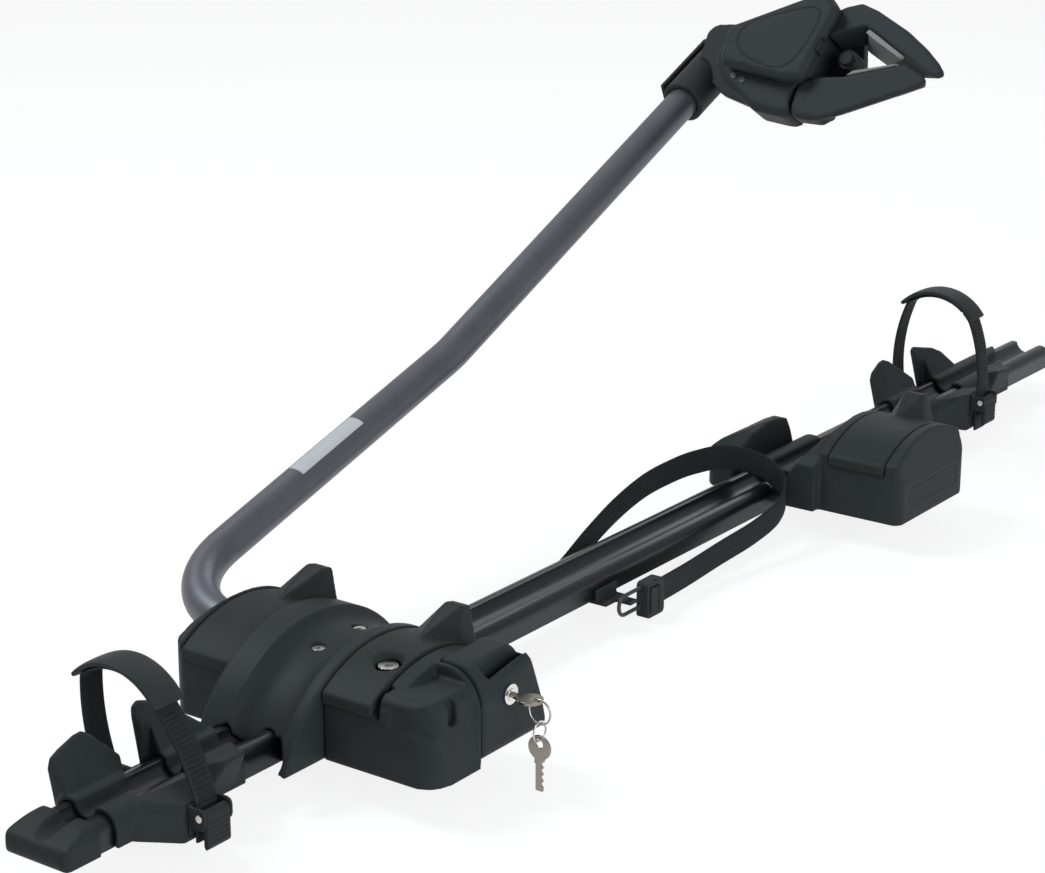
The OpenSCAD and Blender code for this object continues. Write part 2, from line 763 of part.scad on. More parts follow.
paddle_back = jaw_front + 0.8 - paddle_at[2];
module clamp_paddle() {
  outline = [[-73, -38, 10], [-79, -18, 9], [-14, 34, 11], [0, 32, 6], [0, -30, 6], [-16, -32, 9]];
  panel = [[-67, -34, 6], [-71, -20, 6], [-20, 26, 6], [-12, 26, 6], [-12, -22, 6], [-20, -25, 6]];
  lug = 6;
  color(plastic) paddle_frame() difference() {
    slab(outline, paddle_back, paddle_back + paddle_t, 4);
    difference() {
      slab(panel, paddle_back + paddle_t - 1, paddle_back + paddle_t + 1, 0.1);
      slab([for (p = panel) [p[0], p[1], p[2] - 1.2]], paddle_back, paddle_back + paddle_t + 2, 0.1);
    }
    translate([0, 60, 0]) rotate([90, 0, 0]) cylinder(r = 2 + pin_gap, h = 120);
    difference() {
      translate([0, -60, -20]) cube([20, 120, 20]);
      translate([0, 61, 0]) rotate([90, 0, 0]) cylinder(r = -paddle_back, h = 122);
    }
    translate([-6, -lug - move_gap, paddle_back - 1]) cube([20, 2 * (lug + move_gap), 7 - paddle_back]);
  }
}

module paddle_pin() {
  color(steel) paddle_frame() translate([0, 30, 0]) rotate([90, 0, 0]) cylinder(r = 2, h = 58);
}

// Plate over an outline that narrows towards a point at its back, with a bevelled front edge
module rounded_plate(points, at, z0, z1, taper) {
  bevel = 3;
  moved = [for (p = points) p - at];
  translate([at[0], at[1], z1 - bevel]) {
    linear_extrude(bevel, scale = 0.96, slices = 1) polygon(moved);
    mirror([0, 0, 1]) linear_extrude(z1 - z0 - bevel, scale = taper, slices = 1) polygon(moved);
  }
}

upper_jaw_points = [[-45, 12], [-45, 36], [-36, 42], [-21, 47], [-4, 42], [31, 26], [55, 11], [70, -1],
  [76, -8], [76, -12], [71, -14], [63, -11],
  [39, 1], [1, 21], [-11, 26], [-28, 20]];
lower_jaw_points = [[-48, -26], [-19, -22], [39, -4], [62, -14], [70, -16.5], [68, -19], [58, -23],
  [-17, -59], [-34, -65], [-48, -60]];
module upper_jaw() {
  color(plastic) head_frame() rounded_plate(upper_jaw_points, [-45, 8], jaw_back, jaw_front, jaw_taper);
}

module lower_jaw() {
  color(plastic) head_frame() difference() {
    union() {
      rounded_plate(lower_jaw_points, [-45, -28], jaw_back + 0.5, jaw_front - 0.5, jaw_taper);
      translate([hub_at[0], hub_at[1], 0])
        slab([for (p = [[-1, -1], [1, -1], [1, 1], [-1, 1]])
          [p[0] * hub_half, p[1] * hub_half, jaw_hub_r - 1.45 * hub_half]],
          jaw_front - 18, jaw_front - 1, 3);
    }
    translate([hub_at[0], hub_at[1], jaw_back - 20]) cylinder(r = 4 + pin_gap, h = jaw_t + 20 - pin_cover);
  }
}

module upper_jaw_pad() {
  color(pad_grey) head_frame()
    rounded_plate([[-6, 23.5], [2, 19.5], [34, 2.6], [32, -0.5], [0, 15], [-8, 20]], [-45, 8],
      jaw_back, jaw_front, jaw_taper);
}

module lower_jaw_pad() {
  color(pad_grey) head_frame()
    rounded_plate([[-16, -20.6], [30, -6.4], [30, -4.4], [-10, -15.5]], [-45, -28],
      jaw_back + 0.5, jaw_front - 0.5, jaw_taper);
}

module jaw_pin() {
  color(steel) head_frame() translate([hub_at[0], hub_at[1], jaw_back - 12])
    cylinder(r = 4, h = jaw_t + 12 - pin_cover - 1);
}

spindle_at = [-25, -3];
module clamp_spindle() {
  color(rubber) head_frame() translate([spindle_at[0], spindle_at[1], jaw_back - 0.4]) {
    cylinder(r = 6, h = jaw_t - 6);
    translate([0, 0, 6]) cylinder(r = 9, h = jaw_t - 16);
  }
}

module head_screws() {
  color(steel) head_frame() for (p = [[-128, -33], [-118, -36]]) translate([p[0], p[1], shell_front + 0.1])
    difference() {
    cylinder(r = 3, h = 0.6);
    translate([0, 0, 0.5]) cube([4.4, 1, 0.5], center = true);
  }
}

// Wheel trays

tray_front = -57;
ear_back = 87;
skirt_t = 4;
strap_x = 7;
leg_foot = [40, 8];
leg_slot = strap_t + 2 * move_gap;

// Ear of a tray, rising from the rail: the points of its rounded corners
module ear(points) {
  hull() for (p = points) translate(p) sphere(2.5, $fn = 14);
}

// Tray that ends at back on the arm's side and at right_back on the other side.
// tops holds the upper points of its two ears, its far right ear and the place of the ratchet.
module tray(back, right_back, tops, lift) {
  skirt = rail_w / 2 + skirt_t;
  edge = skirt - 3.3;
  low = 3.2;
  ridge = rail_h + 0.6;
  plate_y = ratchet_y + 2.5;
  plate_top = ratchet_z + 4 + lift;
  span = back - tray_front;
  difference() {
    union() {
      intersection() {
        along_x(tray_front, span) rail_outline(skirt_t);
        translate([tray_front - 1, -50, 0]) cube([span + 2, 100, 60]);
      }
      ear(concat([[tray_front + 3, edge, low], [15, edge, low], [tray_front + 3, ridge_y, ridge],
        [9, ridge_y, ridge]], tops[0]));
      ear(concat([[30, edge, low], [ear_back - 4, edge, low], [33, ridge_y, ridge],
        [ear_back - 3, ridge_y, ridge]], tops[1]));
      ear(concat([[right_back - 36, -edge, low], [right_back - 6, -edge, low],
        [right_back - 34, -ridge_y, ridge],
        [right_back + 4, -ridge_y, ridge]], tops[2]));
      ear([[-41, -edge, low], [24, -edge, low], [-37, -edge, 13], [-26, -edge + 1, 21], [22, -edge + 1, 21],
        [strap_x - 15, plate_y, low - 9], [strap_x + 15, plate_y, low - 9],
          [strap_x - 15, plate_y, plate_top],
        [strap_x + 15, plate_y, plate_top]]);
      translate([strap_x - strap_w / 2 - 4, skirt - 1, 0]) cube([strap_w + 8, leg_foot[0] + 6 - skirt, 14]);
    }
    along_x(tray_front - 2, span + 4) rail_outline(move_gap);
    translate([tray_front - 2, -rail_w / 2, -20]) cube([span + 4, rail_w, 20]);
    translate([0, 0, ridge_z - 2]) linear_extrude(60) polygon([[7, 27], [37, 27], [26, -23], [-23, -20]]);
    translate([0, 0, -1]) linear_extrude(90) polygon([[right_back, -60], [right_back + 6, -20], [back, 18],
      [back + 90, 18], [back + 90, -60]]);
    translate([strap_x - strap_w / 2 - move_gap, leg_foot[0] - 9, 3])
      cube([strap_w + 2 * move_gap, leg_slot + 13, 60]);
  }
}

// Straps of a tray: pad_at is the centre of the pad's arc in Y and Z
pad_r = 46.2;
pad_from = 44;
pad_to = 146;
leg_r = 150;
ladder_y = -51;
ladder_low = 20;
ratchet_y = -47;
ladder_w = strap_w - 5;

function pad_end(pad_at, a, r) = pad_at + r * [cos(a), sin(a)];

module strap_leg(pad_at) {
  mid_r = pad_r - fixed_gap - strap_t / 2;
  top = pad_end(pad_at, pad_from + 4, mid_r);
  c = arc_centre(leg_foot, top, leg_r);
  along_x(strap_x - strap_w / 2, strap_w) {
    ring_sector(c, leg_r - strap_t / 2, leg_r + strap_t / 2, direction(c, leg_foot), direction(c, top));
    ring_sector(pad_at, mid_r - strap_t / 2, mid_r + strap_t / 2, pad_from + 4, pad_to - 16);
  }
}

module strap_pad(pad_at) {
  pad_w = strap_w + 3;
  along_x(strap_x - pad_w / 2, pad_w) ring_sector(pad_at, pad_r, pad_r + 4, pad_from, pad_to);
}

module toothed_strap(pad_at) {
  mid_r = pad_r - fixed_gap - strap_t / 2;
  top = pad_end(pad_at, pad_to, mid_r);
  foot = [ladder_y, ladder_low];
  c = arc_centre(top, foot, leg_r);
  a0 = direction(c, top);
  a1 = a0 + 2 * asin(norm(foot - top) / 2 / leg_r);
  teeth = floor((a1 - a0) * PI / 180 * leg_r / tooth_pitch) - 3;
  along_x(strap_x - ladder_w / 2, ladder_w) {
    ring_sector(c, leg_r - strap_t / 2, leg_r + strap_t / 2, a0, a1);
    translate([ladder_y - strap_t / 2, -8]) square([strap_t, ladder_low + 8]);
    ring_sector(pad_at, mid_r - strap_t / 2, mid_r + strap_t / 2, pad_to - 14, pad_to);
  }
  tooth_a = tooth_pitch / leg_r * 180 / PI;
  along_x(strap_x - ladder_w / 2 + 2.5, ladder_w - 5)
    for (i = [0:teeth - 1]) ring_sector(c, leg_r, leg_r + strap_t / 2 + 1, a1 - (i + 1)
      * tooth_a, a1 - (i + 0.45) * tooth_a);
}

ratchet_z = 12.5;
rear_lift = 9;
ratchet_pin_y = -58;
cheek_t = 2;
cheek_x = ladder_w / 2 + 1.5;
module ratchet_frame() {
  back = ratchet_y - fixed_gap;
  translate([strap_x, 0, 0]) difference() {
    union() {
      translate([-cheek_x - cheek_t, back - 1.8, ratchet_z - 14]) cube([2 * (cheek_x + cheek_t), 1.8, 20]);
      for (s = [-1, 1]) along_x(s > 0 ? cheek_x : -cheek_x - cheek_t, cheek_t)
        rounded_rect([ratchet_pin_y - 4, ratchet_z - 9], [back, ratchet_z + 6], [4, 2, 2, 4]);
    }
    rod_x(pin_r + pin_gap, -30, 30, ratchet_pin_y, ratchet_z);
  }
}

module ratchet_lever() {
  hub_r = 4;
  grip = 23;
  w = ladder_w + 2;
  translate([strap_x, ratchet_pin_y, ratchet_z]) difference() {
    union() {
      rod_x(hub_r, -w / 2, w / 2, 0, 0);
      along_x(-w / 2, w) rounded_rect([-hub_r, -grip], [-0.5, 0], [2, 2, 0, 0]);
      for (i = [0:4]) rod_x(1, -w / 2 + 1, w / 2 - 1, -hub_r, -grip + 4 + 3.5 * i);
    }
    rod_x(pin_r + pin_gap, -w, w, 0, 0);
  }
}

module ratchet_pin() {
  side = cheek_x + cheek_t;
  color(steel) translate([strap_x, 0, 0]) {
    rod_x(pin_r, -side - 1, side + 1, ratchet_pin_y, ratchet_z);
    rod_x(2.6, side + 0.2, side + 1.4, ratchet_pin_y, ratchet_z);
    rod_x(2.6, -side - 1.4, -side - 0.2, ratchet_pin_y, ratchet_z);
  }
}

front_pad_at = [18, 51];
rear_pad_at = [-3, 72];
front_tops = [[[-50, 34, 31], [-49, 36, 36], [-45, 37, 41], [-21, 38, 48.5], [-15, 38, 49], [-10, 37, 46]],
  [[31, 34, 47], [33, 36, 51.5], [37, 37, 53], [50, 36, 49], [60, 34, 43]],
  [[46, -33, 26], [62, -32, 26]]];
rear_tops = [[[-51, 34, 33], [-50, 36, 38], [-46, 37, 43], [-32, 38, 49], [-26, 38, 50], [-18, 37, 47]],
  [[29, 34, 46], [30, 36, 48.5], [34, 37, 49.5], [62, 32, 43], [72, 28, 38]],
  [[76, -33, 27], [106, -32, 23]]];
module at_front_tray() { translate([front_tray_x, 0, 0]) children(); }
module at_rear_tray() { translate([rear_tray_x, 0, 0]) children(); }
module front_tray() { color(plastic) at_front_tray() tray(ear_back, 66, front_tops, 0); }
module front_wheel_strap() { color(rubber) at_front_tray() strap_leg(front_pad_at); }
module front_strap_pad() { color(plastic_b) at_front_tray() strap_pad(front_pad_at); }
module front_toothed_strap() { color(rubber) at_front_tray() toothed_strap(front_pad_at); }
module front_ratchet_frame() { color(plastic) at_front_tray() ratchet_frame(); }
module front_ratchet_lever() { color(plastic_b) at_front_tray() ratchet_lever(); }
module front_ratchet_pin() { at_front_tray() ratchet_pin(); }
module rear_tray() { color(plastic) at_rear_tray() tray(171, 110, rear_tops, rear_lift); }
module rear_wheel_strap() { color(rubber) at_rear_tray() strap_leg(rear_pad_at); }
module rear_strap_pad() { color(plastic_b) at_rear_tray() strap_pad(rear_pad_at); }
module rear_toothed_strap() { color(rubber) at_rear_tray() toothed_strap(rear_pad_at); }
module rear_ratchet_frame() { color(plastic) at_rear_tray() translate([0, 0, rear_lift]) ratchet_frame(); }
module rear_ratchet_lever() { color(plastic_b) at_rear_tray() translate([0, 0, rear_lift]) ratchet_lever(); }
module rear_ratchet_pin() { at_rear_tray() translate([0, 0, rear_lift]) ratchet_pin(); }

// Loose frame strap round the rail

band_w = 22;
band_t = 2;
anchor_x = 307;
anchor_w = 28;
band_route = [[352, -44, -7], [400, -42, -7], [450, -43, -3], [500, -47, 3], [537, -48, 12], [560, -38, 24],
  [569, -10, 35], [562, 22, 39], [535, 38, 38], [500, 41, 38], [460, 41, 36], [415, 39, 28], [370, 36, 15],
  [335, 33, 3], [310, 31.5, -5]];

// Point of a smooth curve through four neighbours, at t between the middle two
function smooth(p0, p1, p2, p3, t) =
  0.5 * (2 * p1 + (p2 - p0) * t + (2 * p0 - 5 * p1 + 4 * p2 - p3) * t * t + (3 * p1 - p0 - 3 * p2 + p3)
    * t * t * t);
function route_point(route, s) =
  let (n = len(route) - 1, i = min(floor(s), n - 1), t = s - i)
  smooth(route[max(i - 1, 0)], route[i], route[i + 1], route[min(i + 2, n)], t);
function unit(v) = v / norm(v);

module ribbon(route, w, t, steps) {
  n = (len(route) - 1) * steps;
  rings = [for (k = [0:n])
    let (
      p = route_point(route, k / steps),
      a = route_point(route, max(k - 0.5, 0) / steps),
      b = route_point(route, min(k + 0.5, n) / steps),
      along = unit(b - a),
      side = unit(cross(along, [0, 0, 1])),
      up = cross(side, along)
    )
    [p + side * t / 2 + up * w / 2, p - side * t / 2 + up * w / 2,
     p - side * t / 2 - up * w / 2, p + side * t / 2 - up * w / 2]];
  points = [for (r = rings) for (p = r) p];
  walls = [for (k = [0:n - 1]) for (j = [0:3])
    let (a = 4 * k + j, b = 4 * k + (j + 1) % 4)
    for (f = [[a, b, b + 4], [a, b + 4, a + 4]]) f];
  polyhedron(points, concat([[3, 2, 1], [3, 1, 0]], walls, [[4 * n, 4 * n + 1, 4 * n + 2],
    [4 * n, 4 * n + 2, 4 * n + 3]]));
}

module frame_strap() {
  color(rubber) ribbon(band_route, band_w, band_t, 4);
}

module strap_anchor() {
  g = fixed_gap;
  hook_t = 3;
  low = -hook_t - g;
  color(plastic) {
    along_x(anchor_x - anchor_w / 2, anchor_w) {
      translate([-rail_w / 2 - 12, low]) square([rail_w + 12 + g + hook_t, hook_t]);
      translate([rail_w / 2 + g, low]) square([hook_t, ridge_z]);
      translate([-rail_w / 2 - g - hook_t, low]) square([hook_t, ridge_z]);
    }
    translate([anchor_x, -rail_w / 2 - 26, low]) cube([10, 15, hook_t]);
  }
}

buckle_at = [342, -44, -7];
buckle_w = 30;
module strap_buckle() {
  color(plastic) translate(buckle_at) difference() {
    along_y(-7, 4) rounded_rect([-12, -buckle_w / 2], [12, buckle_w / 2], [3, 3, 3, 3]);
    translate([-2, -1 - move_gap, -band_w / 2 - move_gap])
      cube([30, band_t + 2 * move_gap, band_w + 2 * move_gap]);
    translate([-9, -10, -band_w / 2]) cube([14, 7, band_w]);
    translate([0, -5, -band_w / 2]) cylinder(r = 4, h = band_w);
    translate([0, -5, -30]) cylinder(r = 1.5 + pin_gap, h = 60);
  }
}

module buckle_lever() {
  color(plastic_b) translate(buckle_at) difference() {
    union() {
      translate([0, -5, -band_w / 2 + 0.5]) cylinder(r = 3.6, h = band_w - 1);
      translate([-8.5, -8.4, -band_w / 2 + 0.5]) cube([9, 2.8, band_w - 1]);
    }
    translate([0, -5, -20]) cylinder(r = 1.5 + pin_gap, h = 40);
  }
}

module strap_hook() {
  wire = 1.6;
  reach = 22;
  half = 8;
  color(steel) translate([buckle_at[0] - 12.6, buckle_at[1], buckle_at[2] + 3]) {
    for (s = [-1, 1]) rod_x(wire, -reach, 0, 0, s * half);
    translate([-reach, 0, 0]) rotate([90, 0, 0]) rotate([0, 0, 90]) rotate_extrude(angle = 180)
      translate([half, 0]) circle(wire, $fn = 24);
  }
}

// Rear foot

module at_rear_foot() { translate([foot_gap, 0, 0]) children(); }

saddle_half = 52;
saddle_t = 5;
module rear_bridge() {
  color(plastic) at_rear_foot() difference() {
    intersection() {
      along_x(-saddle_half, 2 * saddle_half) rail_outline(saddle_t);
      translate([-saddle_half, -60, 0]) cube([2 * saddle_half, 120, 60]);
    }
    along_x(-saddle_half - 1, 2 * saddle_half + 2) rail_outline(move_gap);
  }
}

rear_inner = rail_w / 2 + saddle_t + fixed_gap;
module rear_left_housing() {
  back = 48;
  top = rear_left_top;
  color(plastic) at_rear_foot() difference() {
    intersection() {
      along_y(rear_inner, rear_left_end) polygon([[-wing_half, 0], [-wing_half, top - 26], [-56, top - 17],
        [-44, top - 8],
        [-28, top - 2], [-4, top + 2], [16, top + 1], [30, top - 3], [37, top - 15], [back - 4, 14],
          [back, 4], [back, 0]]);
      linear_extrude(dome_top) rounded_rect([-wing_half, rear_inner], [back, rear_left_end], [0, 0, 14, 14]);
      along_x(-wing_half - 1, 2 * wing_half + 2) polygon([[rear_inner, 0], [rear_left_end, 0],
        [rear_left_end, rear_left_top - 14],
        [rear_left_end - 6, rear_left_top - 8], [rear_inner, rear_left_top + 4]]);
    }
    translate([0, rear_bolt_y, -1]) cylinder(r = bar_bolt_r, h = 14);
    translate([0, rear_bolt_y, 12]) cylinder(r = 9, h = rear_left_top - 20);
  }
}

rear_bolt_y = 45;
rear_lid_end = rear_lid_y + rear_lid_w;
module rear_right_housing() {
  shoulder = rear_lid_y - 8;
  color(plastic) at_rear_foot() difference() {
    union() {
      dome_slice(seat_r, -rear_lid_end, -rear_lid_y + 1, -wing_half, wing_half);
      dome_slice(dome_r, -rear_lid_y, -shoulder, -wing_half, wing_half);
      intersection() {
        dome_slice(dome_r - 4, -shoulder, -rear_inner, -wing_half - 8, wing_half + 8);
        along_x(-100, 200) polygon([[-shoulder, 0], [-rear_inner, 0], [-rear_inner, 26],
          [-shoulder, dome_top]]);
      }
      intersection() {
        dome_slice(dome_r, -rear_right_end, -rear_lid_end, -wing_half, wing_half);
        linear_extrude(dome_top + 1) rounded_rect([-wing_half, -rear_right_end],
          [wing_half, -rear_lid_end + 1], [9, 16, 0, 0]);
        along_x(-100, 200) polygon([[-rear_right_end, 0], [-rear_lid_end + 1, 0],
          [-rear_lid_end + 1, dome_top + 1],
          [-rear_right_end + 7, dome_top + 1], [-rear_right_end + 4, dome_top - 14], [-rear_right_end, 33]]);
        along_y(-rear_right_end - 1, -rear_lid_end + 2) polygon([[-wing_half, 0], [wing_half, 0],
          [wing_half - 7, 40],
          [wing_half - 15, dome_top + 1], [-wing_half, dome_top + 1]]);
      }
    }
    lid_well(-rear_lid_end, -rear_lid_y);
    rod_y(pin_r + pin_gap, -rear_lid_end - 5, -rear_lid_y + 5, hinge_x, hinge_z);
    rod_y(lid_slot_r, -rear_lid_end, -rear_lid_y, hinge_x, hinge_z);
    translate([0, -2 * bar_bolt_y + rear_bolt_y, -1]) cylinder(r = bar_bolt_r, h = floor_t + 2);
    translate([plate_x0 - fixed_gap, -rear_right_end - 1, plate_z0 - fixed_gap])
      cube([plate_x1 - plate_x0 + 2 * fixed_gap, 1 + plate_t, plate_z1 - plate_z0 + 2 * fixed_gap]);
    parting_groove(-rear_right_end - 1, -rear_inner, 33);
  }
}

module rear_lid() {
  color(plastic_b) at_rear_foot() lid_shell(-rear_lid_end, -rear_lid_y, [0.34, 0.66], [0.27, 0.86],
    dome_top + 15);
}

module rear_lid_pin() {
  color(steel) at_rear_foot() rod_y(pin_r, -rear_lid_end - 4, -rear_lid_y + 4, hinge_x, hinge_z);
}

plate_x0 = -44;
plate_x1 = 40;
plate_z0 = 14;
plate_z1 = 30;
plate_t = 1.4;
module rear_end_plate() {
  color(plastic_b) at_rear_foot() translate([plate_x0, -rear_right_end + 0.2, plate_z0])
    cube([plate_x1 - plate_x0, plate_t - 0.3, plate_z1 - plate_z0]);
}

rail();
rail_end_cap();
front_bridge();
front_left_housing();
front_right_housing();
front_left_lid();
front_right_lid();
lid_pins();
trough_screws();
lid_bolt();
axle_bushes();
lock_flap();
flap_pin();
lock_barrel();
lock_plug();
lock_key();
key_rings();
spare_key();
arm_tube();
axle_plug();
pivot_bolt();
head_collar();
collar_lever();
collar_pin();
head_front_shell();
head_rear_shell();
clamp_paddle();
paddle_pin();
upper_jaw();
lower_jaw();
upper_jaw_pad();
lower_jaw_pad();
jaw_pin();
clamp_spindle();
head_screws();
front_tray();
front_wheel_strap();
front_strap_pad();
front_toothed_strap();
front_ratchet_frame();
front_ratchet_lever();
front_ratchet_pin();
rear_tray();
rear_wheel_strap();
rear_strap_pad();
rear_toothed_strap();
rear_ratchet_frame();
rear_ratchet_lever();
rear_ratchet_pin();
frame_strap();
strap_anchor();
strap_buckle();
buckle_lever();
strap_hook();
rear_bridge();
rear_left_housing();
rear_right_housing();
rear_lid();
rear_lid_pin();
rear_end_plate();
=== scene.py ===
# %% [markdown]
# # Dressing a roof bike carrier
# The solids of the carrier come from a CAD model as a fixed frame: a rail on two feet, an arm with a clamp
# head and two wheel trays. This lesson gives each of them its real surface. Everything is in metres, with X
# along the rail, Y to the side of the arm and Z up. Sizes of pieces are written in millimetres and multiplied
# by `MM`; the camera, the floor and the lamps are placed in metres.

# %% Load the solids
import json
import bmesh
import bpy
import numpy as np
from mathutils import Matrix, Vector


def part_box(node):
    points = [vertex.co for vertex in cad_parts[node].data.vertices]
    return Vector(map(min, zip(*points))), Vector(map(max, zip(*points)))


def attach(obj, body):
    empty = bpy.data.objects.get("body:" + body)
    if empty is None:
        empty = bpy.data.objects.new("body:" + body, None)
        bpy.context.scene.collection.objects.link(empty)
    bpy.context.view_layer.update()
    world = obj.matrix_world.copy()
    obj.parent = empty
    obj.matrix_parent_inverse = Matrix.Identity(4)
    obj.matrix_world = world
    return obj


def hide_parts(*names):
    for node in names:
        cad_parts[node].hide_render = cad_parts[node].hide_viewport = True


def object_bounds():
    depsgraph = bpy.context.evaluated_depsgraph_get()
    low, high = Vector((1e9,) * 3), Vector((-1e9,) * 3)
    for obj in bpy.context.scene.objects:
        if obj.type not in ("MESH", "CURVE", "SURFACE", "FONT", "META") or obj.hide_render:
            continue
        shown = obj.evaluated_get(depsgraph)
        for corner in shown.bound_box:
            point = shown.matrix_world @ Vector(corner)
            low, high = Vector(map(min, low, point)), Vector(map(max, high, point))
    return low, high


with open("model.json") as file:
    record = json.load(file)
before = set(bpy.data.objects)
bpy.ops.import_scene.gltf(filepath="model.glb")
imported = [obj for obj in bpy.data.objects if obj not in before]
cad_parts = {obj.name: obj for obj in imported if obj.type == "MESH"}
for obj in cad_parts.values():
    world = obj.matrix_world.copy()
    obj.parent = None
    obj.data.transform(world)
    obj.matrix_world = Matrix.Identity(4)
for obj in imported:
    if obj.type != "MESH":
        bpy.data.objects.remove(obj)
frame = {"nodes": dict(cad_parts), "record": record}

MM = 0.001
X, Y, Z = np.eye(3)
nodes = frame["nodes"]
body_of_node = {n: b for b, members in frame["record"]["behaviour"]["bodies"].items() for n in members}
cad_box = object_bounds()
print(len(nodes), "solids, box", [round(v, 3) for corner in cad_box for v in corner])

# %% [markdown]
# ## The camera
# A product picture fixes the camera: its height, where it looks, and its focal length in pixels of a picture
# 1045 by 873 pixels large. Three unit vectors (right, above, forward) are the columns of its turn, which is
# easier to check than three angles.

# %% Camera
PICTURE = (1045, 873)
FOCAL_PIXELS = 2664.0
SENSOR = 36.0
FAR_CLIP = 60.0
EYE = np.array([-1.3275, -1.1425, 0.769])
YAW, PITCH = np.radians(36.25), np.radians(17.82)

ahead = np.array([np.cos(YAW), np.sin(YAW), 0.0])
right = np.array([np.sin(YAW), -np.cos(YAW), 0.0])
forward = ahead * np.cos(PITCH) - Z * np.sin(PITCH)
above = ahead * np.sin(PITCH) + Z * np.cos(PITCH)

lens = bpy.data.cameras.new("product_camera")
lens.sensor_width = SENSOR
lens.lens = FOCAL_PIXELS / PICTURE[0] * SENSOR
lens.clip_end = FAR_CLIP
camera = bpy.data.objects.new("product_camera", lens)
turn = np.eye(4)
turn[:3, 0], turn[:3, 1], turn[:3, 2], turn[:3, 3] = right, above, -forward, EYE
camera.matrix_world = Matrix(turn.tolist())
bpy.context.scene.collection.objects.link(camera)
bpy.context.scene.camera = camera
bpy.context.scene.view_settings.view_transform = "Standard"
print("lens", round(lens.lens, 1), "mm")

# %% [markdown]
# ## Small tools for nodes
# Materials here are built from code. `wire` adds a node with its settings in one line, and a link is made by
# giving a socket of another node instead of a number. `group` starts a node group with named sockets.


# %% Node tools
def wire(tree, kind, values=None, **settings):
    """Adds a node of a kind; values maps an input to a number, a colour or another node's output."""
    node = tree.nodes.new(kind)
    for key, value in settings.items():
        setattr(node, key, value)
    for key, value in (values or {}).items():
        if isinstance(value, bpy.types.NodeSocket):
            tree.links.new(value, node.inputs[key])
        else:
            node.inputs[key].default_value = value
    return node


def group(name, inputs, outputs):
    """Starts a shader node group with float inputs (name, value) and outputs (name, socket type)."""
    tree = bpy.data.node_groups.new(name, "ShaderNodeTree")
    for label, value in inputs:
        socket = tree.interface.new_socket(label, in_out="INPUT", socket_type="NodeSocketFloat")
        socket.default_value = value
    for label, kind in outputs:
        tree.interface.new_socket(label, in_out="OUTPUT", socket_type=kind)
    return tree, tree.nodes.new("NodeGroupInput").outputs, tree.nodes.new("NodeGroupOutput").inputs


HEIGHT_AND_TONE = [("Height", "NodeSocketFloat"), ("Tone", "NodeSocketFloat")]
print("node tools ready")

# %% [markdown]
# ## Shared effects
# Moulded pieces share a fine spark texture, the rail has draw lines along it and the webbing a weave, and all
# of them have a painted highlight on their edges, a lighter tone put where edges catch light. Each effect is
# one node group, so a change to it reaches every material. The edge group compares the true normal with the
# one
# the Bevel node rounds off: they differ only near an edge, which gives the mask of the painted highlight.
# Noise scales are counts per metre.

# %% Group: moulded grain
SPARK_SCALE, CLOUD_SCALE = 2600.0, 26.0

grain, g_in, g_out = group("moulded_grain", [("Size", SPARK_SCALE)], HEIGHT_AND_TONE)
place = wire(grain, "ShaderNodeTexCoord").outputs["Object"]
spark = wire(grain, "ShaderNodeTexNoise", {"Vector": place, "Scale": g_in["Size"], "Detail": 3.0,
                                           "Roughness": 0.55})
cloud = wire(grain, "ShaderNodeTexNoise", {"Vector": place, "Scale": CLOUD_SCALE, "Detail": 3.0,
                                           "Roughness": 0.6})
grain.links.new(spark.outputs["Fac"], g_out["Height"])
grain.links.new(cloud.outputs["Fac"], g_out["Tone"])
print("group", grain.name)

# %% Group: rounded edges and the mask of their painted highlight
EDGE_RADIUS = 1.2 * MM
SAME_NORMAL, SHARP_EDGE = 0.995, 0.80

edges, e_in, e_out = group("rounded_edges", [("Radius", EDGE_RADIUS)],
                           [("Normal", "NodeSocketVector"), ("Painted highlight", "NodeSocketFloat")])
rounded = wire(edges, "ShaderNodeBevel", {"Radius": e_in["Radius"]}, samples=4)
true = wire(edges, "ShaderNodeNewGeometry").outputs["Normal"]
agree = wire(edges, "ShaderNodeVectorMath", {0: rounded.outputs["Normal"], 1: true}, operation="DOT_PRODUCT")
# Mask of the painted edge highlight: 0 where both normals agree, 1 at a sharp edge.
edge_highlight_mask = wire(edges, "ShaderNodeMapRange", {"Value": agree.outputs["Value"], "From Min": SAME_NORMAL,
                                          "From Max": SHARP_EDGE, "To Min": 0.0, "To Max": 1.0})
edges.links.new(rounded.outputs["Normal"], e_out["Normal"])
edges.links.new(edge_highlight_mask.outputs["Result"], e_out["Painted highlight"])
print("group", edges.name)

# %% Group: draw lines along a bar
ALONG_SCALE, ACROSS_SCALE, PATCH_SCALE = 6.0, 900.0, 14.0

lines, l_in, l_out = group("draw_lines", [("Along", ALONG_SCALE), ("Across", ACROSS_SCALE)], HEIGHT_AND_TONE)
place = wire(lines, "ShaderNodeTexCoord").outputs["Object"]
stretch = wire(lines, "ShaderNodeCombineXYZ", {"X": l_in["Along"], "Y": l_in["Across"], "Z": l_in["Across"]})
drawn = wire(lines, "ShaderNodeVectorMath", {0: place, 1: stretch.outputs["Vector"]}, operation="MULTIPLY")
streak = wire(lines, "ShaderNodeTexNoise", {"Vector": drawn.outputs["Vector"], "Scale": 1.0, "Detail": 2.0,
                                            "Roughness": 0.5})
patch = wire(lines, "ShaderNodeTexNoise", {"Vector": place, "Scale": PATCH_SCALE, "Detail": 2.0})
lines.links.new(streak.outputs["Fac"], l_out["Height"])
lines.links.new(patch.outputs["Fac"], l_out["Tone"])
print("group", lines.name)

# %% Group: weave of a webbing
WARP_SCALE, WEFT_SCALE, SOIL_SCALE = 286.0, 210.0, 60.0

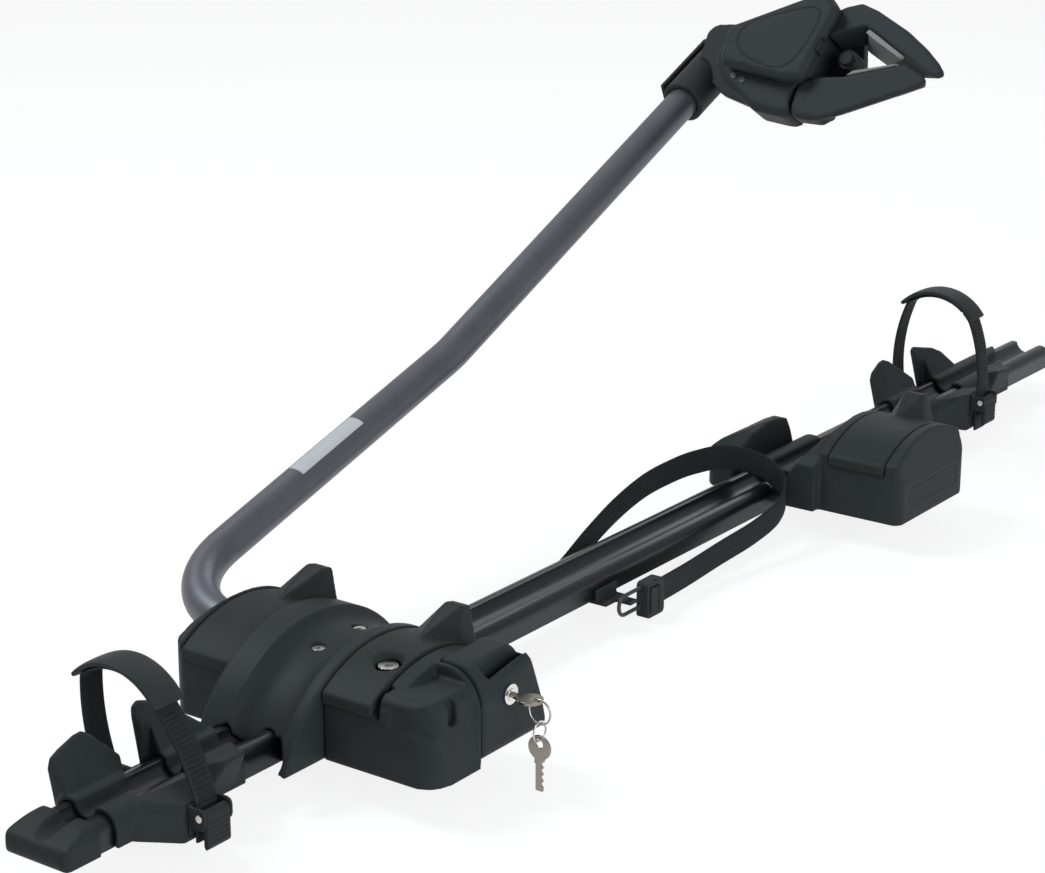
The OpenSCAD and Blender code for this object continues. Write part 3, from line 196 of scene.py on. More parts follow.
weave, w_in, w_out = group("woven_web", [("Warp", WARP_SCALE), ("Weft", WEFT_SCALE)], HEIGHT_AND_TONE)
place = wire(weave, "ShaderNodeTexCoord").outputs["UV"]
warp = wire(weave, "ShaderNodeTexWave", {"Vector": place, "Scale": w_in["Warp"]}, wave_type="BANDS",
            bands_direction="Y")
weft = wire(weave, "ShaderNodeTexWave", {"Vector": place, "Scale": w_in["Weft"]}, wave_type="BANDS",
            bands_direction="DIAGONAL")
knot = wire(weave, "ShaderNodeMath", {0: warp.outputs["Fac"], 1: weft.outputs["Fac"]}, operation="MULTIPLY")
soil = wire(weave, "ShaderNodeTexNoise", {"Vector": place, "Scale": SOIL_SCALE, "Detail": 3.0})
both = wire(weave, "ShaderNodeMath", {0: knot.outputs["Value"], 1: soil.outputs["Fac"]}, operation="MULTIPLY")
weave.links.new(knot.outputs["Value"], w_out["Height"])
weave.links.new(both.outputs["Value"], w_out["Tone"])
print("group", weave.name)

# %% [markdown]
# ## Finishes
# A finish is a Principled shader whose colour and roughness change a little over the surface. Two tones are
# mixed by the group's slow noise, edges get a third, lighter tone that is a painted highlight, and the fine
# noise goes into a Bump node.

# %% A finish from two tones
GLOSS_SPREAD = 0.05


def finish_of(name, dark, light, edge, rough, metal=0.0, texture="moulded_grain", depth=0.04,
              bevel=1.2, painted_highlight=0.35, shine=0.5):
    """Principled material: base = mix(dark, light, slow noise), then mix(base, edge, share x edge mask): the
    edge tone is a painted highlight. Roughness follows the slow noise and Bump the fine one; depth and bevel
    are in millimetres."""
    made = bpy.data.materials.new(name)
    made.use_nodes = True
    tree = made.node_tree
    shader = tree.nodes["Principled BSDF"]
    surface = wire(tree, "ShaderNodeGroup", node_tree=bpy.data.node_groups[texture]).outputs
    corner = wire(tree, "ShaderNodeGroup", node_tree=bpy.data.node_groups["rounded_edges"])
    corner.inputs["Radius"].default_value = bevel * MM
    tones = wire(tree, "ShaderNodeMix", {"Factor": surface["Tone"], "A": (*dark, 1), "B": (*light, 1)},
                 data_type="RGBA")
    # Painted highlight: the lighter edge tone goes where the edge mask is high.
    highlight_share = wire(tree, "ShaderNodeMath", {0: corner.outputs["Painted highlight"], 1: painted_highlight}, operation="MULTIPLY")
    colour = wire(tree, "ShaderNodeMix", {"Factor": highlight_share.outputs["Value"], "A": tones.outputs["Result"],
                                          "B": (*edge, 1)}, data_type="RGBA")
    gloss = wire(tree, "ShaderNodeMapRange", {"Value": surface["Tone"], "To Min": rough - GLOSS_SPREAD,
                                              "To Max": rough + GLOSS_SPREAD})
    bump = wire(tree, "ShaderNodeBump", {"Height": surface["Height"], "Normal": corner.outputs["Normal"],
                                         "Strength": 1.0, "Distance": depth * MM})
    tree.links.new(colour.outputs["Result"], shader.inputs["Base Color"])
    tree.links.new(gloss.outputs["Result"], shader.inputs["Roughness"])
    tree.links.new(bump.outputs["Normal"], shader.inputs["Normal"])
    shader.inputs["Metallic"].default_value = metal
    shader.inputs["Specular IOR Level"].default_value = shine
    return made


print("finishes use", [g.name for g in bpy.data.node_groups])

# %% [markdown]
# ## The finishes of this carrier
# The plastic is black with a blue-grey sheen, the rail and the arm are dark anodised aluminium, and the small
# hardware is steel. Colours are linear values, as the shader wants them: dark tone, light tone, and an edge
# tone that is a painted highlight on the edges. A moulded black has little shine of its own, so its specular
# level is far below the usual 0.5.

# %% Finishes of the moulded pieces
# The third colour of each finish is its painted edge highlight.
satin_black = finish_of("satin_black", (0.0215, 0.0256, 0.0288), (0.0315, 0.0370, 0.0412),
                        (0.070, 0.078, 0.085), 0.50, shine=0.08)
lid_black = finish_of("lid_black", (0.0220, 0.0256, 0.0258), (0.0320, 0.0370, 0.0372),
                      (0.062, 0.068, 0.070), 0.48, shine=0.06)
strap_rubber = finish_of("strap_rubber", (0.0150, 0.0176, 0.0196), (0.0225, 0.0258, 0.0282),
                         (0.055, 0.060, 0.064), 0.52, depth=0.05, shine=0.1)
sleeve_rubber = finish_of("sleeve_rubber", (0.0230, 0.0266, 0.0275), (0.0330, 0.0375, 0.0385),
                          (0.070, 0.076, 0.079), 0.50, depth=0.05, shine=0.1)
pad_rubber = finish_of("pad_rubber", (0.17, 0.175, 0.185), (0.24, 0.245, 0.255),
                       (0.36, 0.36, 0.37), 0.60, shine=0.3)
web_black = finish_of("web_black", (0.014, 0.0155, 0.0165), (0.036, 0.039, 0.041),
                      (0.05, 0.052, 0.054), 0.72, texture="woven_web", depth=0.30, painted_highlight=0.1, shine=0.15)
label_vinyl = finish_of("label_vinyl", (0.42, 0.43, 0.45), (0.50, 0.51, 0.53), (0.60, 0.60, 0.61), 0.42,
                        depth=0.005, bevel=0.2, shine=0.3)
print(len(bpy.data.materials), "finishes")

# %% Finishes of the metal pieces
# The third colour of each finish is its painted edge highlight.
rail_metal = finish_of("rail_metal", (0.030, 0.032, 0.038), (0.042, 0.044, 0.052),
                       (0.15, 0.15, 0.165), 0.30, metal=0.85, texture="draw_lines", depth=0.02, bevel=0.8)
arm_metal = finish_of("arm_metal", (0.095, 0.100, 0.115), (0.130, 0.136, 0.155),
                      (0.28, 0.28, 0.30), 0.42, metal=0.75, depth=0.02, bevel=0.8)
bright_steel = finish_of("bright_steel", (0.55, 0.54, 0.52), (0.72, 0.71, 0.69),
                         (0.85, 0.85, 0.84), 0.26, metal=1.0, depth=0.01, bevel=0.4)
dark_steel = finish_of("dark_steel", (0.045, 0.048, 0.052), (0.075, 0.078, 0.082),
                       (0.20, 0.20, 0.20), 0.52, metal=0.6, depth=0.01, bevel=0.4, shine=0.2)
lock_chrome = finish_of("lock_chrome", (0.62, 0.61, 0.58), (0.80, 0.79, 0.77), (0.9, 0.9, 0.9),
                        0.16, metal=1.0, depth=0.005, bevel=0.5)
key_nickel = finish_of("key_nickel", (0.22, 0.20, 0.17), (0.36, 0.33, 0.29),
                       (0.62, 0.60, 0.55), 0.32, metal=1.0, depth=0.02, bevel=0.4)
print(len(bpy.data.materials), "finishes")

# %% Which finish each solid has
FINISH = {
    rail_metal: ["rail"],
    arm_metal: ["arm_tube"],
    bright_steel: ["lid_pins", "trough_screws", "lid_bolt", "flap_pin", "axle_plug", "pivot_bolt",
                   "front_ratchet_pin", "rear_ratchet_pin", "rear_lid_pin", "key_rings"],
    dark_steel: ["collar_pin", "jaw_pin", "paddle_pin", "head_screws", "strap_hook"],
    lock_chrome: ["lock_barrel", "lock_plug"],
    key_nickel: ["lock_key", "spare_key"],
    strap_rubber: ["axle_bushes", "clamp_spindle"],
    pad_rubber: ["upper_jaw_pad", "lower_jaw_pad"],
    lid_black: ["front_left_lid", "front_right_lid", "rear_lid", "collar_lever", "front_ratchet_lever",
                "rear_ratchet_lever", "buckle_lever", "rear_end_plate", "rail_end_cap"],
}
finish_of_node = {n: f for f, names in FINISH.items() for n in names}
for name, solid in nodes.items():
    solid.data.materials.clear()
    solid.data.materials.append(finish_of_node.get(name, satin_black))
print("solids in satin black:", sum(n not in finish_of_node for n in nodes))

# %% [markdown]
# ## Moulded skins
# The solids have crisp edges, but an injection mould leaves every edge round. A Bevel modifier fails on some
# of these edges, so each plastic solid is rebuilt on a grid of small cubes, and numpy then rounds it: every
# point moves half way to the mean of its neighbours, a few times over. Flat faces stay where they are and
# only edges give way, by about the cube's size times the root of the number of passes. A step back after each
# pass keeps thin ears from shrinking, so more passes can take the facets away.


# %% Rounding a solid
SAME_POINT = 1e-6


def add_piece(name, mesh, body, finish, stands_for=()):
    """Makes an object of a mesh that is already in place, dresses it and lets it ride on a body."""
    mesh.name = name
    mesh.materials.clear()
    mesh.materials.append(finish)
    piece = bpy.data.objects.new(name, mesh)
    bpy.context.scene.collection.objects.link(piece)
    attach(piece, body)
    if stands_for:
        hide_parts(*stands_for)
    return piece


def cube_mesh(name, cube):
    """Mesh of a solid, rebuilt on a grid of cubes of a size in millimetres."""
    work = bmesh.new()
    work.from_mesh(nodes[name].data)
    bmesh.ops.remove_doubles(work, verts=work.verts, dist=SAME_POINT)
    merged = bpy.data.meshes.new(name + "_merged")
    work.to_mesh(merged)
    work.free()
    carrier = bpy.data.objects.new(name + "_merged", merged)
    bpy.context.scene.collection.objects.link(carrier)
    cubes = carrier.modifiers.new("cubes", "REMESH")
    cubes.mode, cubes.voxel_size = "VOXEL", cube * MM
    bpy.context.view_layer.update()
    mesh = bpy.data.meshes.new_from_object(carrier.evaluated_get(bpy.context.evaluated_depsgraph_get()))
    bpy.data.objects.remove(carrier)
    return mesh


def rounded_skin(name, cube, passes, back=0.0, reshape=None):
    """Skin of a solid: p <- p + (mean of neighbours - p) / 2, then p <- p - back (mean - p), repeated.
    Neighbours are the points at the other ends of a point's edges; reshape then moves all points once."""
    mesh = cube_mesh(name, cube)
    points = np.empty(len(mesh.vertices) * 3)
    mesh.vertices.foreach_get("co", points)
    points = points.reshape(-1, 3)
    ends = np.empty(len(mesh.edges) * 2, int)
    mesh.edges.foreach_get("vertices", ends)
    a, b = ends.reshape(-1, 2).T
    n = len(points)
    count = np.bincount(np.concatenate([a, b]), minlength=n)[:, None]
    for step in [0.5, -back] * passes if back else [0.5] * passes:
        total = np.stack([np.bincount(a, points[b, k], n) + np.bincount(b, points[a, k], n)
                          for k in range(3)], axis=1)
        points = points + step * (total / count - points)
    if reshape:
        points = reshape(points)
    mesh.vertices.foreach_set("co", points.ravel())
    mesh.polygons.foreach_set("use_smooth", np.ones(len(mesh.polygons), bool))
    mesh.update()
    finish = finish_of_node.get(name, satin_black)
    skin = add_piece(name + "_skin", mesh, body_of_node[name], finish, [name])
    print(skin.name, len(mesh.polygons), "faces")
    return skin


# %% Skins of the moulded pieces
STEP_BACK = 0.47
SKINS = [
    # cube in mm, passes, step back, solids
    (1.1, 5, 0, ["front_left_housing", "front_right_housing", "rear_right_housing", "rear_left_housing"]),
    (1.0, 5, 0, ["front_left_lid", "front_right_lid", "rear_lid", "lock_flap", "rear_bridge"]),
    (0.9, 30, STEP_BACK, ["rear_tray", "head_rear_shell"]),
    (0.9, 14, 0, ["head_front_shell", "upper_jaw"]),
    (0.8, 4, 0, ["head_collar"]),
    (0.6, 5, 0, ["collar_lever", "upper_jaw_pad", "lower_jaw_pad"]),
    (0.5, 3, 0, ["front_ratchet_frame", "rear_ratchet_frame", "front_ratchet_lever", "rear_ratchet_lever",
                 "strap_anchor", "strap_buckle", "buckle_lever"]),
]
for cube, passes, back, names in SKINS:
    for name in names:
        rounded_skin(name, cube, passes, back)

# %% [markdown]
# ## Trough of the dome
# Five skins get one more step, a function that moves all points at once. On the dome, only the distance from
# its axis changes: the trough gets a flatter floor and a clear rib on each side. The solid's own trough is a
# torus cut, so the old distance is known for every Y and the difference can be added.

# %% Dome, in millimetres
DOME_R, DOME_Z = 108.0, -36.0
CROWN_LEFT, CROWN_RIGHT = 4.0, 1.0
CUT_R, CUT_DEPTH, CUT_Y = 52.0, 8.0, -16.0
TROUGH_MID, TROUGH_HALF, TROUGH_FLOOR = -12.0, 24.0, 100.3
MOVED_TO, STILL_FROM = 1.0, 3.0


def ribbed(q):
    """r <- r + share (new - old): new = floor + (side - floor) |t|^3 over the trough, and old is a torus cut.
    The share is 1 near the outer face and 0 deep inside, so the inner face stays."""
    x, y, z = (q / MM).T
    r = np.hypot(x, z - DOME_Z)
    crest = DOME_R + np.where(y > 0, CROWN_LEFT, CROWN_RIGHT)
    cut = DOME_R + CUT_R - CUT_DEPTH - np.sqrt(np.maximum(CUT_R ** 2 - (y - CUT_Y) ** 2, 0))
    old = np.minimum(cut, crest)
    t = np.clip((y - TROUGH_MID) / TROUGH_HALF, -1, 1)
    side = DOME_R + np.where(t > 0, CROWN_LEFT, CROWN_RIGHT)
    new = TROUGH_FLOOR + (side - TROUGH_FLOOR) * np.abs(t) ** 3
    share = np.clip((r - old + STILL_FROM) / (STILL_FROM - MOVED_TO), 0, 1)
    grow = 1 + share * (new - old) / r
    return np.column_stack([x * grow, y, DOME_Z + (z - DOME_Z) * grow]) * MM


rounded_skin("front_bridge", 1.1, 5, reshape=ribbed)

# %% [markdown]
# ## Jaw, cap and tray
# The lower jaw ends blunt, so the last stretch of it is squeezed. The rail shows between its end cap and the
# front tray, so the edges of both draw back from each other in the same way. The clamp head stands askew, and
# it has three axes of its own.

# %% Blunt jaw
HEAD_AT, HEAD_TILT = np.array([725.0, -20.0, 369.0]), np.radians(30)
TIP_FROM, TIP_SHARE = 56.0, 0.3

head_x = -Y
head_y = np.sin(HEAD_TILT) * X + np.cos(HEAD_TILT) * Z
head_z = np.cross(head_x, head_y)


def blunt_tip(q):
    """Past one place along the jaws, the way that is left shrinks to a share of itself."""
    past = np.maximum((q / MM - HEAD_AT) @ head_x - TIP_FROM, 0)
    return q - ((1 - TIP_SHARE) * past * MM)[:, None] * head_x


rounded_skin("lower_jaw", 0.9, 14, reshape=blunt_tip)

# %% Cap and front tray
CAP_STILL, CAP_EDGE, CAP_NEW = -266.0, -252.0, -257.0
TRAY_STILL, TRAY_EDGE, TRAY_NEW = -228.0, -249.0, -242.5


def squeezed(still, edge, new):
    """Moves x evenly between a place that stays and an edge, so that the edge comes to its new place."""
    def reshape(q):
        way = q[:, 0] / MM - still
        scale = np.where(way * (edge - still) > 0, (new - still) / (edge - still), 1)
        return np.column_stack([(still + way * scale) * MM, q[:, 1:]])
    return reshape


rounded_skin("rail_end_cap", 0.8, 16, reshape=squeezed(CAP_STILL, CAP_EDGE, CAP_NEW))
rounded_skin("front_tray", 0.9, 30, STEP_BACK, squeezed(TRAY_STILL, TRAY_EDGE, TRAY_NEW))

# %% [markdown]
# ## Paddle
# The clamp paddle is soft all round, with a thin line pressed into its face. The depth of the line is a bell
# curve of the distance from a closed path, which a running mean makes smooth.

# %% Paddle, in millimetres
PADDLE_AT, PADDLE_TURN = (-49.0, 1.0, 20.0), np.radians(-13.7)
PRESSED = np.array([[-62, 0], [-71, -9], [-74, -20], [-70, -29], [-58, -35], [-42, -37], [-25, -36],
                    [-14, -31], [-8, -21], [-5, -5], [-4, 12], [-6, 25], [-12, 29], [-20, 27], [-40, 15],
                    [-62, 0]], float)
LINE_DEPTH, LINE_HALF, FACE_Z = 0.9, 0.8, 5.0
STEPS, RUN = 12, 15

paddle_x = np.cos(PADDLE_TURN) * head_x + np.sin(PADDLE_TURN) * head_y
paddle_y = np.cos(PADDLE_TURN) * head_y - np.sin(PADDLE_TURN) * head_x
paddle_o = HEAD_AT + np.array(PADDLE_AT) @ np.stack([head_x, head_y, head_z])


def running_mean(ring, run):
    """Mean of each point of a closed ring and its neighbours, by a convolution of three rings in a row."""
    three = np.tile(ring, (3, 1))
    mean = [np.convolve(three[:, k], np.ones(run) / run, "same") for k in range(ring.shape[1])]
    return np.stack(mean, 1)[len(ring):-len(ring)]


def pressed_line(q):
    """q - depth exp(-(d / half)^2) face normal, with d the distance from the path in the paddle's plane."""
    own = q / MM - paddle_o
    flat = np.stack([own @ paddle_x, own @ paddle_y], 1)
    sides = [np.linspace(u, v, STEPS, endpoint=False) for u, v in zip(PRESSED[:-1], PRESSED[1:])]
    ring = running_mean(np.concatenate(sides), RUN)
    front = own @ head_z > FACE_Z
    far = np.full(len(q), np.inf)
    far[front] = np.sqrt(((flat[front, None] - ring) ** 2).sum(-1).min(1))
    return q - (LINE_DEPTH * MM * np.exp(-(far / LINE_HALF) ** 2))[:, None] * head_z


rounded_skin("clamp_paddle", 0.7, 26, reshape=pressed_line)

# %% [markdown]
# ## A profile carried along a path
# Straps, webbing, rings and the label are all the same kind of surface: a closed outline that moves along a
# path. A screw modifier or a curve with a bevel object could do it, but with numpy the outline may change on
# the way, which is how a strap gets its teeth. U runs along the path and V round the outline, both in metres,
# so that a weave keeps its true size.


# %% Sweep
def swept(path, side, out, outline):
    """point(i, j) = path(i) + outline(i, j, 0) side(i) + outline(i, j, 1) out(i), with a face at each end.
    Where the walls' normals point inwards, all faces are turned round."""
    outline = np.broadcast_to(outline, (len(path), *outline.shape[-2:]))
    rings = path[:, None] + outline[..., :1] * side[:, None] + outline[..., 1:] * out[:, None]
    n, m = rings.shape[:2]
    i, j = np.meshgrid(np.arange(n - 1), np.arange(m), indexing="ij")
    walls = np.stack([i * m + j, i * m + (j + 1) % m, (i + 1) * m + (j + 1) % m, (i + 1) * m + j], -1)
    walls = walls.reshape(-1, 4)
    along = np.concatenate([[0], np.cumsum(np.linalg.norm(np.diff(path, axis=0), axis=1))])
    gap = np.linalg.norm(np.diff(outline[0], axis=0, append=outline[0][:1]), axis=1)
    around = np.concatenate([[0], np.cumsum(gap)])
    corners = ((0, 0), (0, 1), (1, 1), (1, 0))
    uv = np.stack([np.stack([along[i + a], around[j + b]], -1) for a, b in corners], 2)
    points = rings.reshape(-1, 3)
    first, last = list(range(m)), list(range((n - 1) * m, n * m))
    a, b, d = (points[walls[:, k]] for k in (0, 1, 3))
    if np.sum(np.cross(b - a, d - a) * (a - points.mean(0))) < 0:
        walls, uv = walls[:, ::-1], uv[:, :, ::-1]
        ends = [first, last[::-1]]
    else:
        ends = [first[::-1], last]
    mesh = bpy.data.meshes.new("swept")
    mesh.from_pydata(points, [], walls.tolist() + ends)
    layer = mesh.uv_layers.new(name="length_and_girth")
    layer.uv.foreach_set("vector", np.concatenate([uv.reshape(-1, 2), np.zeros((2 * m, 2))]).ravel())
    mesh.polygons.foreach_set("use_smooth", np.arange(len(mesh.polygons)) < len(walls))
    mesh.update()
    return mesh


def even_steps(points, step):
    """Points at equal steps along a polyline: each coordinate is interpolated over the polyline's length."""
    run = np.concatenate([[0], np.cumsum(np.linalg.norm(np.diff(points, axis=0), axis=1))])
    at = np.linspace(0, run[-1], int(np.ceil(run[-1] / step)) + 1)
    return np.stack([np.interp(at, run, points[:, k]) for k in range(points.shape[1])], axis=1), at


def band(half_w, half_t, count=25, power=6):
    """Closed outline of a band: x = half_w sin a, z = +-half_t (1 - |sin a|^p)^(1/p), over and back below."""
    x = np.sin(np.linspace(-np.pi / 2, np.pi / 2, count))
    z = (1 - np.abs(x) ** power) ** (1 / power)
    top = np.stack([half_w * x, half_t * z], 1)
    return np.concatenate([top, (top * [1, -1])[-2:0:-1]])


print("band of", len(band(1, 1)), "points")

# %% [markdown]
# ## Wheel straps
# Each tray has a plain strap that rises from its far side, a moulded sleeve over the tyre and a toothed strap
# that comes down to the ratchet. Their middle lines are arcs in the Y and Z plane. The teeth are a wave added
# to the strap's thickness, only between its two smooth edges.

# %% Sizes of the wheel straps, in millimetres and degrees
STRAP_X, STRAP_W, STRAP_T, LADDER_W = 7.0, 20.0, 2.4, 20.0
SLEEVE_R, SLEEVE_T, SLEEVE_W, SLEEVE_CROWN = 46.2, 4.0, 28.0, 0.5
SLEEVE_FROM, SLEEVE_TO = 44.0, 146.0
SLEEVE_ROUND, SLEEVE_END = 2.5, 0.80
LEG_FOOT, LADDER_FOOT, LADDER_END = np.array([34.0, 8.0]), np.array([-51.0, 20.0]), np.array([-51.0, -8.0])
BOW_R = 150.0
TOOTH_PITCH, TOOTH_H, TOOTH_HALF, TOOTH_FLANK = 3.4, 1.0, 8.0, 0.6
TOOTH_STEEP, TOOTH_WIDE = 1.6, 0.4
PLAIN_START, PLAIN_END = 16.0, 14.0
LEG_TUCK, LADDER_TUCK, TUCK_GAP, JOIN = 4.0, 14.0, 2.0, 0.5
SLEEVE_GAP = 0.2
UNDER_R = SLEEVE_R - SLEEVE_GAP - STRAP_T / 2


def arc(centre, radius, a0, a1, count=60):
    """Points of a circle between two angles in degrees."""
    a = np.radians(np.linspace(a0, a1, count))
    return centre + radius * np.stack([np.cos(a), np.sin(a)], 1)


def bow(p, q, radius, count=80):
    """Arc from p to q whose centre is on the left of the way: the middle plus the height of the triangle."""
    way = q - p
    size = np.hypot(*way)
    centre = (p + q) / 2 + np.sqrt(radius ** 2 - size ** 2 / 4) * np.array([-way[1], way[0]]) / size
    a0, a1 = (np.degrees(np.arctan2(*(v - centre)[::-1])) for v in (p, q))
    return arc(centre, radius, a0, a0 + (a1 - a0 + 180) % 360 - 180, count)


print("strap under the sleeve at radius", UNDER_R)


# %% Outlines of the wheel straps
def leg_outline(at):
    """Plain band, the same all along."""
    return band(STRAP_W / 2, STRAP_T / 2)


def sleeve_outline(at):
    """Band with a crowned top; it closes like a quarter of a superellipse over the ends."""
    shape = band(SLEEVE_W / 2, SLEEVE_T / 2, power=4)
    rise = SLEEVE_CROWN * (1 - (shape[:, 0] / shape[:, 0].max()) ** 2) * (shape[:, 1] > 0)
    shape = shape + np.stack([0 * rise, rise], 1)
    near = np.clip(np.minimum(at, at[-1] - at) / SLEEVE_ROUND, 0, 1)
    close = SLEEVE_END + (1 - SLEEVE_END) * (1 - (1 - near) ** 4) ** 0.25
    return shape * close[:, None, None]


def ladder_outline(at):
    """Band whose top rises by a tooth: height x clip(steep sin(2 pi s / pitch) + wide, 0, 1), away from
    its two edges and its plain ends."""
    shape = np.tile(band(LADDER_W / 2, STRAP_T / 2, count=33), (len(at), 1, 1))
    toothed = (at > PLAIN_START) * (at < at[-1] - PLAIN_END)
    wave = np.clip(TOOTH_STEEP * np.sin(2 * np.pi * at / TOOTH_PITCH) + TOOTH_WIDE, 0, 1) * toothed
    inner = np.clip((TOOTH_HALF - np.abs(shape[..., 0])) / TOOTH_FLANK + 0.5, 0, 1) * (shape[..., 1] > 0)
    shape[..., 1] += TOOTH_H * wave[:, None] * inner
    return shape


def strap_mesh(route, tray_x, outline_at, centre, step=0.5):
    """Sweeps outline_at(length) along a route in Y and Z; out is the normal away from the tyre's middle."""
    flat, at = even_steps(route, step)
    go = np.gradient(flat, axis=0)
    out = np.stack([-go[:, 1], go[:, 0]], 1) / np.linalg.norm(go, axis=1, keepdims=True)
    out *= np.sign(np.sum(out * (flat - centre)))
    path = np.column_stack([np.full(len(flat), tray_x + STRAP_X), flat])
    side = np.tile(X, (len(flat), 1))
    return swept(path * MM, side, np.column_stack([np.zeros(len(flat)), out]), outline_at(at) * MM)


print("teeth", TOOTH_PITCH, "mm apart")

# %% Straps of both trays
LEG_STEP = 1.5
TRAYS = {"front": (-192.0, np.array([18.0, 51.0])), "rear": (897.0, np.array([-3.0, 72.0]))}
for end, (tray_x, centre) in TRAYS.items():
    leg_top, ladder_top = SLEEVE_FROM + LEG_TUCK, SLEEVE_TO - LADDER_TUCK
    top, bottom = (arc(centre, UNDER_R, a, a, 1)[0] for a in (leg_top, SLEEVE_TO))
    leg = np.concatenate([bow(LEG_FOOT, top, BOW_R),
                          arc(centre, UNDER_R, leg_top + JOIN, ladder_top - TUCK_GAP)])
    ladder = np.concatenate([arc(centre, UNDER_R, ladder_top, SLEEVE_TO - JOIN),
                             bow(bottom, LADDER_FOOT, BOW_R), [LADDER_END]])
    sleeve = arc(centre, SLEEVE_R + SLEEVE_T / 2, SLEEVE_FROM, SLEEVE_TO)
    body = body_of_node[end + "_tray"]
    leg_mesh = strap_mesh(leg, tray_x, leg_outline, centre, LEG_STEP)
    add_piece(end + "_strap_leg", leg_mesh, body, strap_rubber, [end + "_wheel_strap"])
    ladder_mesh = strap_mesh(ladder, tray_x, ladder_outline, centre)
    add_piece(end + "_strap_ladder", ladder_mesh, body, strap_rubber, [end + "_toothed_strap"])
    sleeve_mesh = strap_mesh(sleeve, tray_x, sleeve_outline, centre)
    add_piece(end + "_strap_sleeve", sleeve_mesh, body, sleeve_rubber, [end + "_strap_pad"])
    print(end, "straps", [len(m.polygons) for m in (leg_mesh, ladder_mesh, sleeve_mesh)], "faces")

# %% [markdown]
# ## Loose frame strap
# A woven strap leaves the buckle under the rail, makes a loop round it and comes back to the anchor. Its
# route is a smooth curve through a few points. The band stands on edge, so its width lies in the plane of the
# path and Z.

# %% Webbing, in millimetres
WEB_W, WEB_T, WEB_STEP = 22.0, 2.0, 2.0
CURVE_STEPS = 24
WEB_ROUTE = np.array([[352, -44, -7], [400, -42, -7], [450, -43, -3], [500, -47, 3], [537, -48, 12],
                      [560, -38, 24], [569, -10, 35], [562, 22, 39], [535, 38, 38], [500, 41, 38],
                      [460, 41, 36], [415, 39, 28], [370, 36, 15], [335, 33, 3], [310, 31.5, -5]])


def smooth_route(points, steps):
    """Catmull-Rom curve: cubics whose slope at each point is half the way between its two neighbours."""
    p = np.concatenate([points[:1], points, points[-1:]])
    t = np.linspace(0, 1, steps, endpoint=False)[None, :, None]
    p0, p1, p2, p3 = (p[k:len(p) - 3 + k, None] for k in range(4))
    second, third = 2 * p0 - 5 * p1 + 4 * p2 - p3, 3 * p1 - p0 - 3 * p2 + p3
    curve = 2 * p1 + (p2 - p0) * t + second * t ** 2 + third * t ** 3
    return np.concatenate([curve.reshape(-1, 3) / 2, points[-1:]])


def unit(v):
    """Vectors of length 1."""
    return v / np.linalg.norm(v, axis=-1, keepdims=True)


path, at = even_steps(smooth_route(WEB_ROUTE, CURVE_STEPS), WEB_STEP)
go = unit(np.gradient(path, axis=0))
side = unit(np.cross(go, Z))
web_mesh = swept(path * MM, np.cross(side, go), side, band(WEB_W / 2, WEB_T / 2, power=3) * MM)
add_piece("frame_webbing", web_mesh, body_of_node["frame_strap"], web_black, ["frame_strap"])
print("webbing", round(at[-1]), "mm long")

# %% [markdown]
# ## Split rings
# A key ring is a flat wire wound twice round. Its path is a short helix, and its outline a flat band. The box
# of the solid rings says where the two of them hang.

# %% Two rings in one mesh
RING_WIRE, RING_R, RING2_R = 0.75, 9.0, 7.0
WIRE_HALF_W, WIRE_HALF_T = 0.7, 0.34
WOUND_STEPS = 145


def wound(centre, a, b, radius):
    """Two turns of wire: centre + radius (cos t a + sin t b) + wire (t / 2 pi - 1) / 2 (a x b)."""
    t = np.linspace(0, 4 * np.pi, WOUND_STEPS)
    spoke = np.cos(t)[:, None] * a + np.sin(t)[:, None] * b
    axle = np.cross(a, b)
    path = centre + radius * MM * spoke + RING_WIRE * MM * (t / (2 * np.pi) - 1)[:, None] * axle / 2
    wire_outline = band(WIRE_HALF_W * MM, WIRE_HALF_T * MM, count=9, power=3)
    return swept(path, spoke, np.tile(axle, (len(t), 1)), wire_outline)


low, high = (np.array(corner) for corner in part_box("key_rings"))
ring_x, ring_y = ((low + high) / 2)[:2]
first = np.array([ring_x, ring_y, high[2] - (RING_R + RING_WIRE) * MM])
second = np.array([ring_x, ring_y, low[2] + (RING2_R + RING_WIRE) * MM])
work = bmesh.new()
for ring in (wound(first, Y, Z, RING_R), wound(second, X, Z, RING2_R)):
    work.from_mesh(ring)
ring_mesh = bpy.data.meshes.new("rings")
work.to_mesh(ring_mesh)
work.free()
add_piece("split_rings", ring_mesh, body_of_node["key_rings"], bright_steel, ["key_rings"])
print("rings", len(ring_mesh.polygons), "faces")

# %% [markdown]
# ## Label on the arm
# A blank pale label lies over the top of the tube. It is a thin arc of the tube's outline, carried along the
# arm.

# %% Arm label, in millimetres and degrees
TUBE_R, LABEL_T, LABEL_LIFT = 14.5, 0.2, 0.02
LABEL_FROM, LABEL_TO, LABEL_ARC = 165, 243, (68, 129)
ARC_POINTS, LENGTH_POINTS = 25, 40
AXLE, SLOPE = np.array([4.0, 168.0, 46.0]), np.radians(17.1)

arm_way = np.array([np.cos(SLOPE), 0, np.sin(SLOPE)])
arm_up = np.cross(arm_way, Y)
edge = arc(np.zeros(2), 1.0, *LABEL_ARC, ARC_POINTS)
label_outline = np.concatenate([edge * (TUBE_R + LABEL_T), edge[::-1] * (TUBE_R + LABEL_LIFT)])
path = AXLE + np.linspace(LABEL_FROM, LABEL_TO, LENGTH_POINTS)[:, None] * arm_way
label_mesh = swept(path * MM, np.tile(Y, (len(path), 1)), np.tile(arm_up, (len(path), 1)), label_outline * MM)
add_piece("arm_label", label_mesh, body_of_node["arm_tube"], label_vinyl)
print("label", len(label_mesh.polygons), "faces")

# %% [markdown]
# ## Studio
# The floor is pale and keeps the carrier's soft shadow. The camera and reflections also see a white glow in
# it, which the Light Path node hides from all other rays, so that the background is white without more light
# on the object. The sky is white to the camera, while reflections see it brighter on the far side than on the
# near one, which gives the black mouldings their shape.


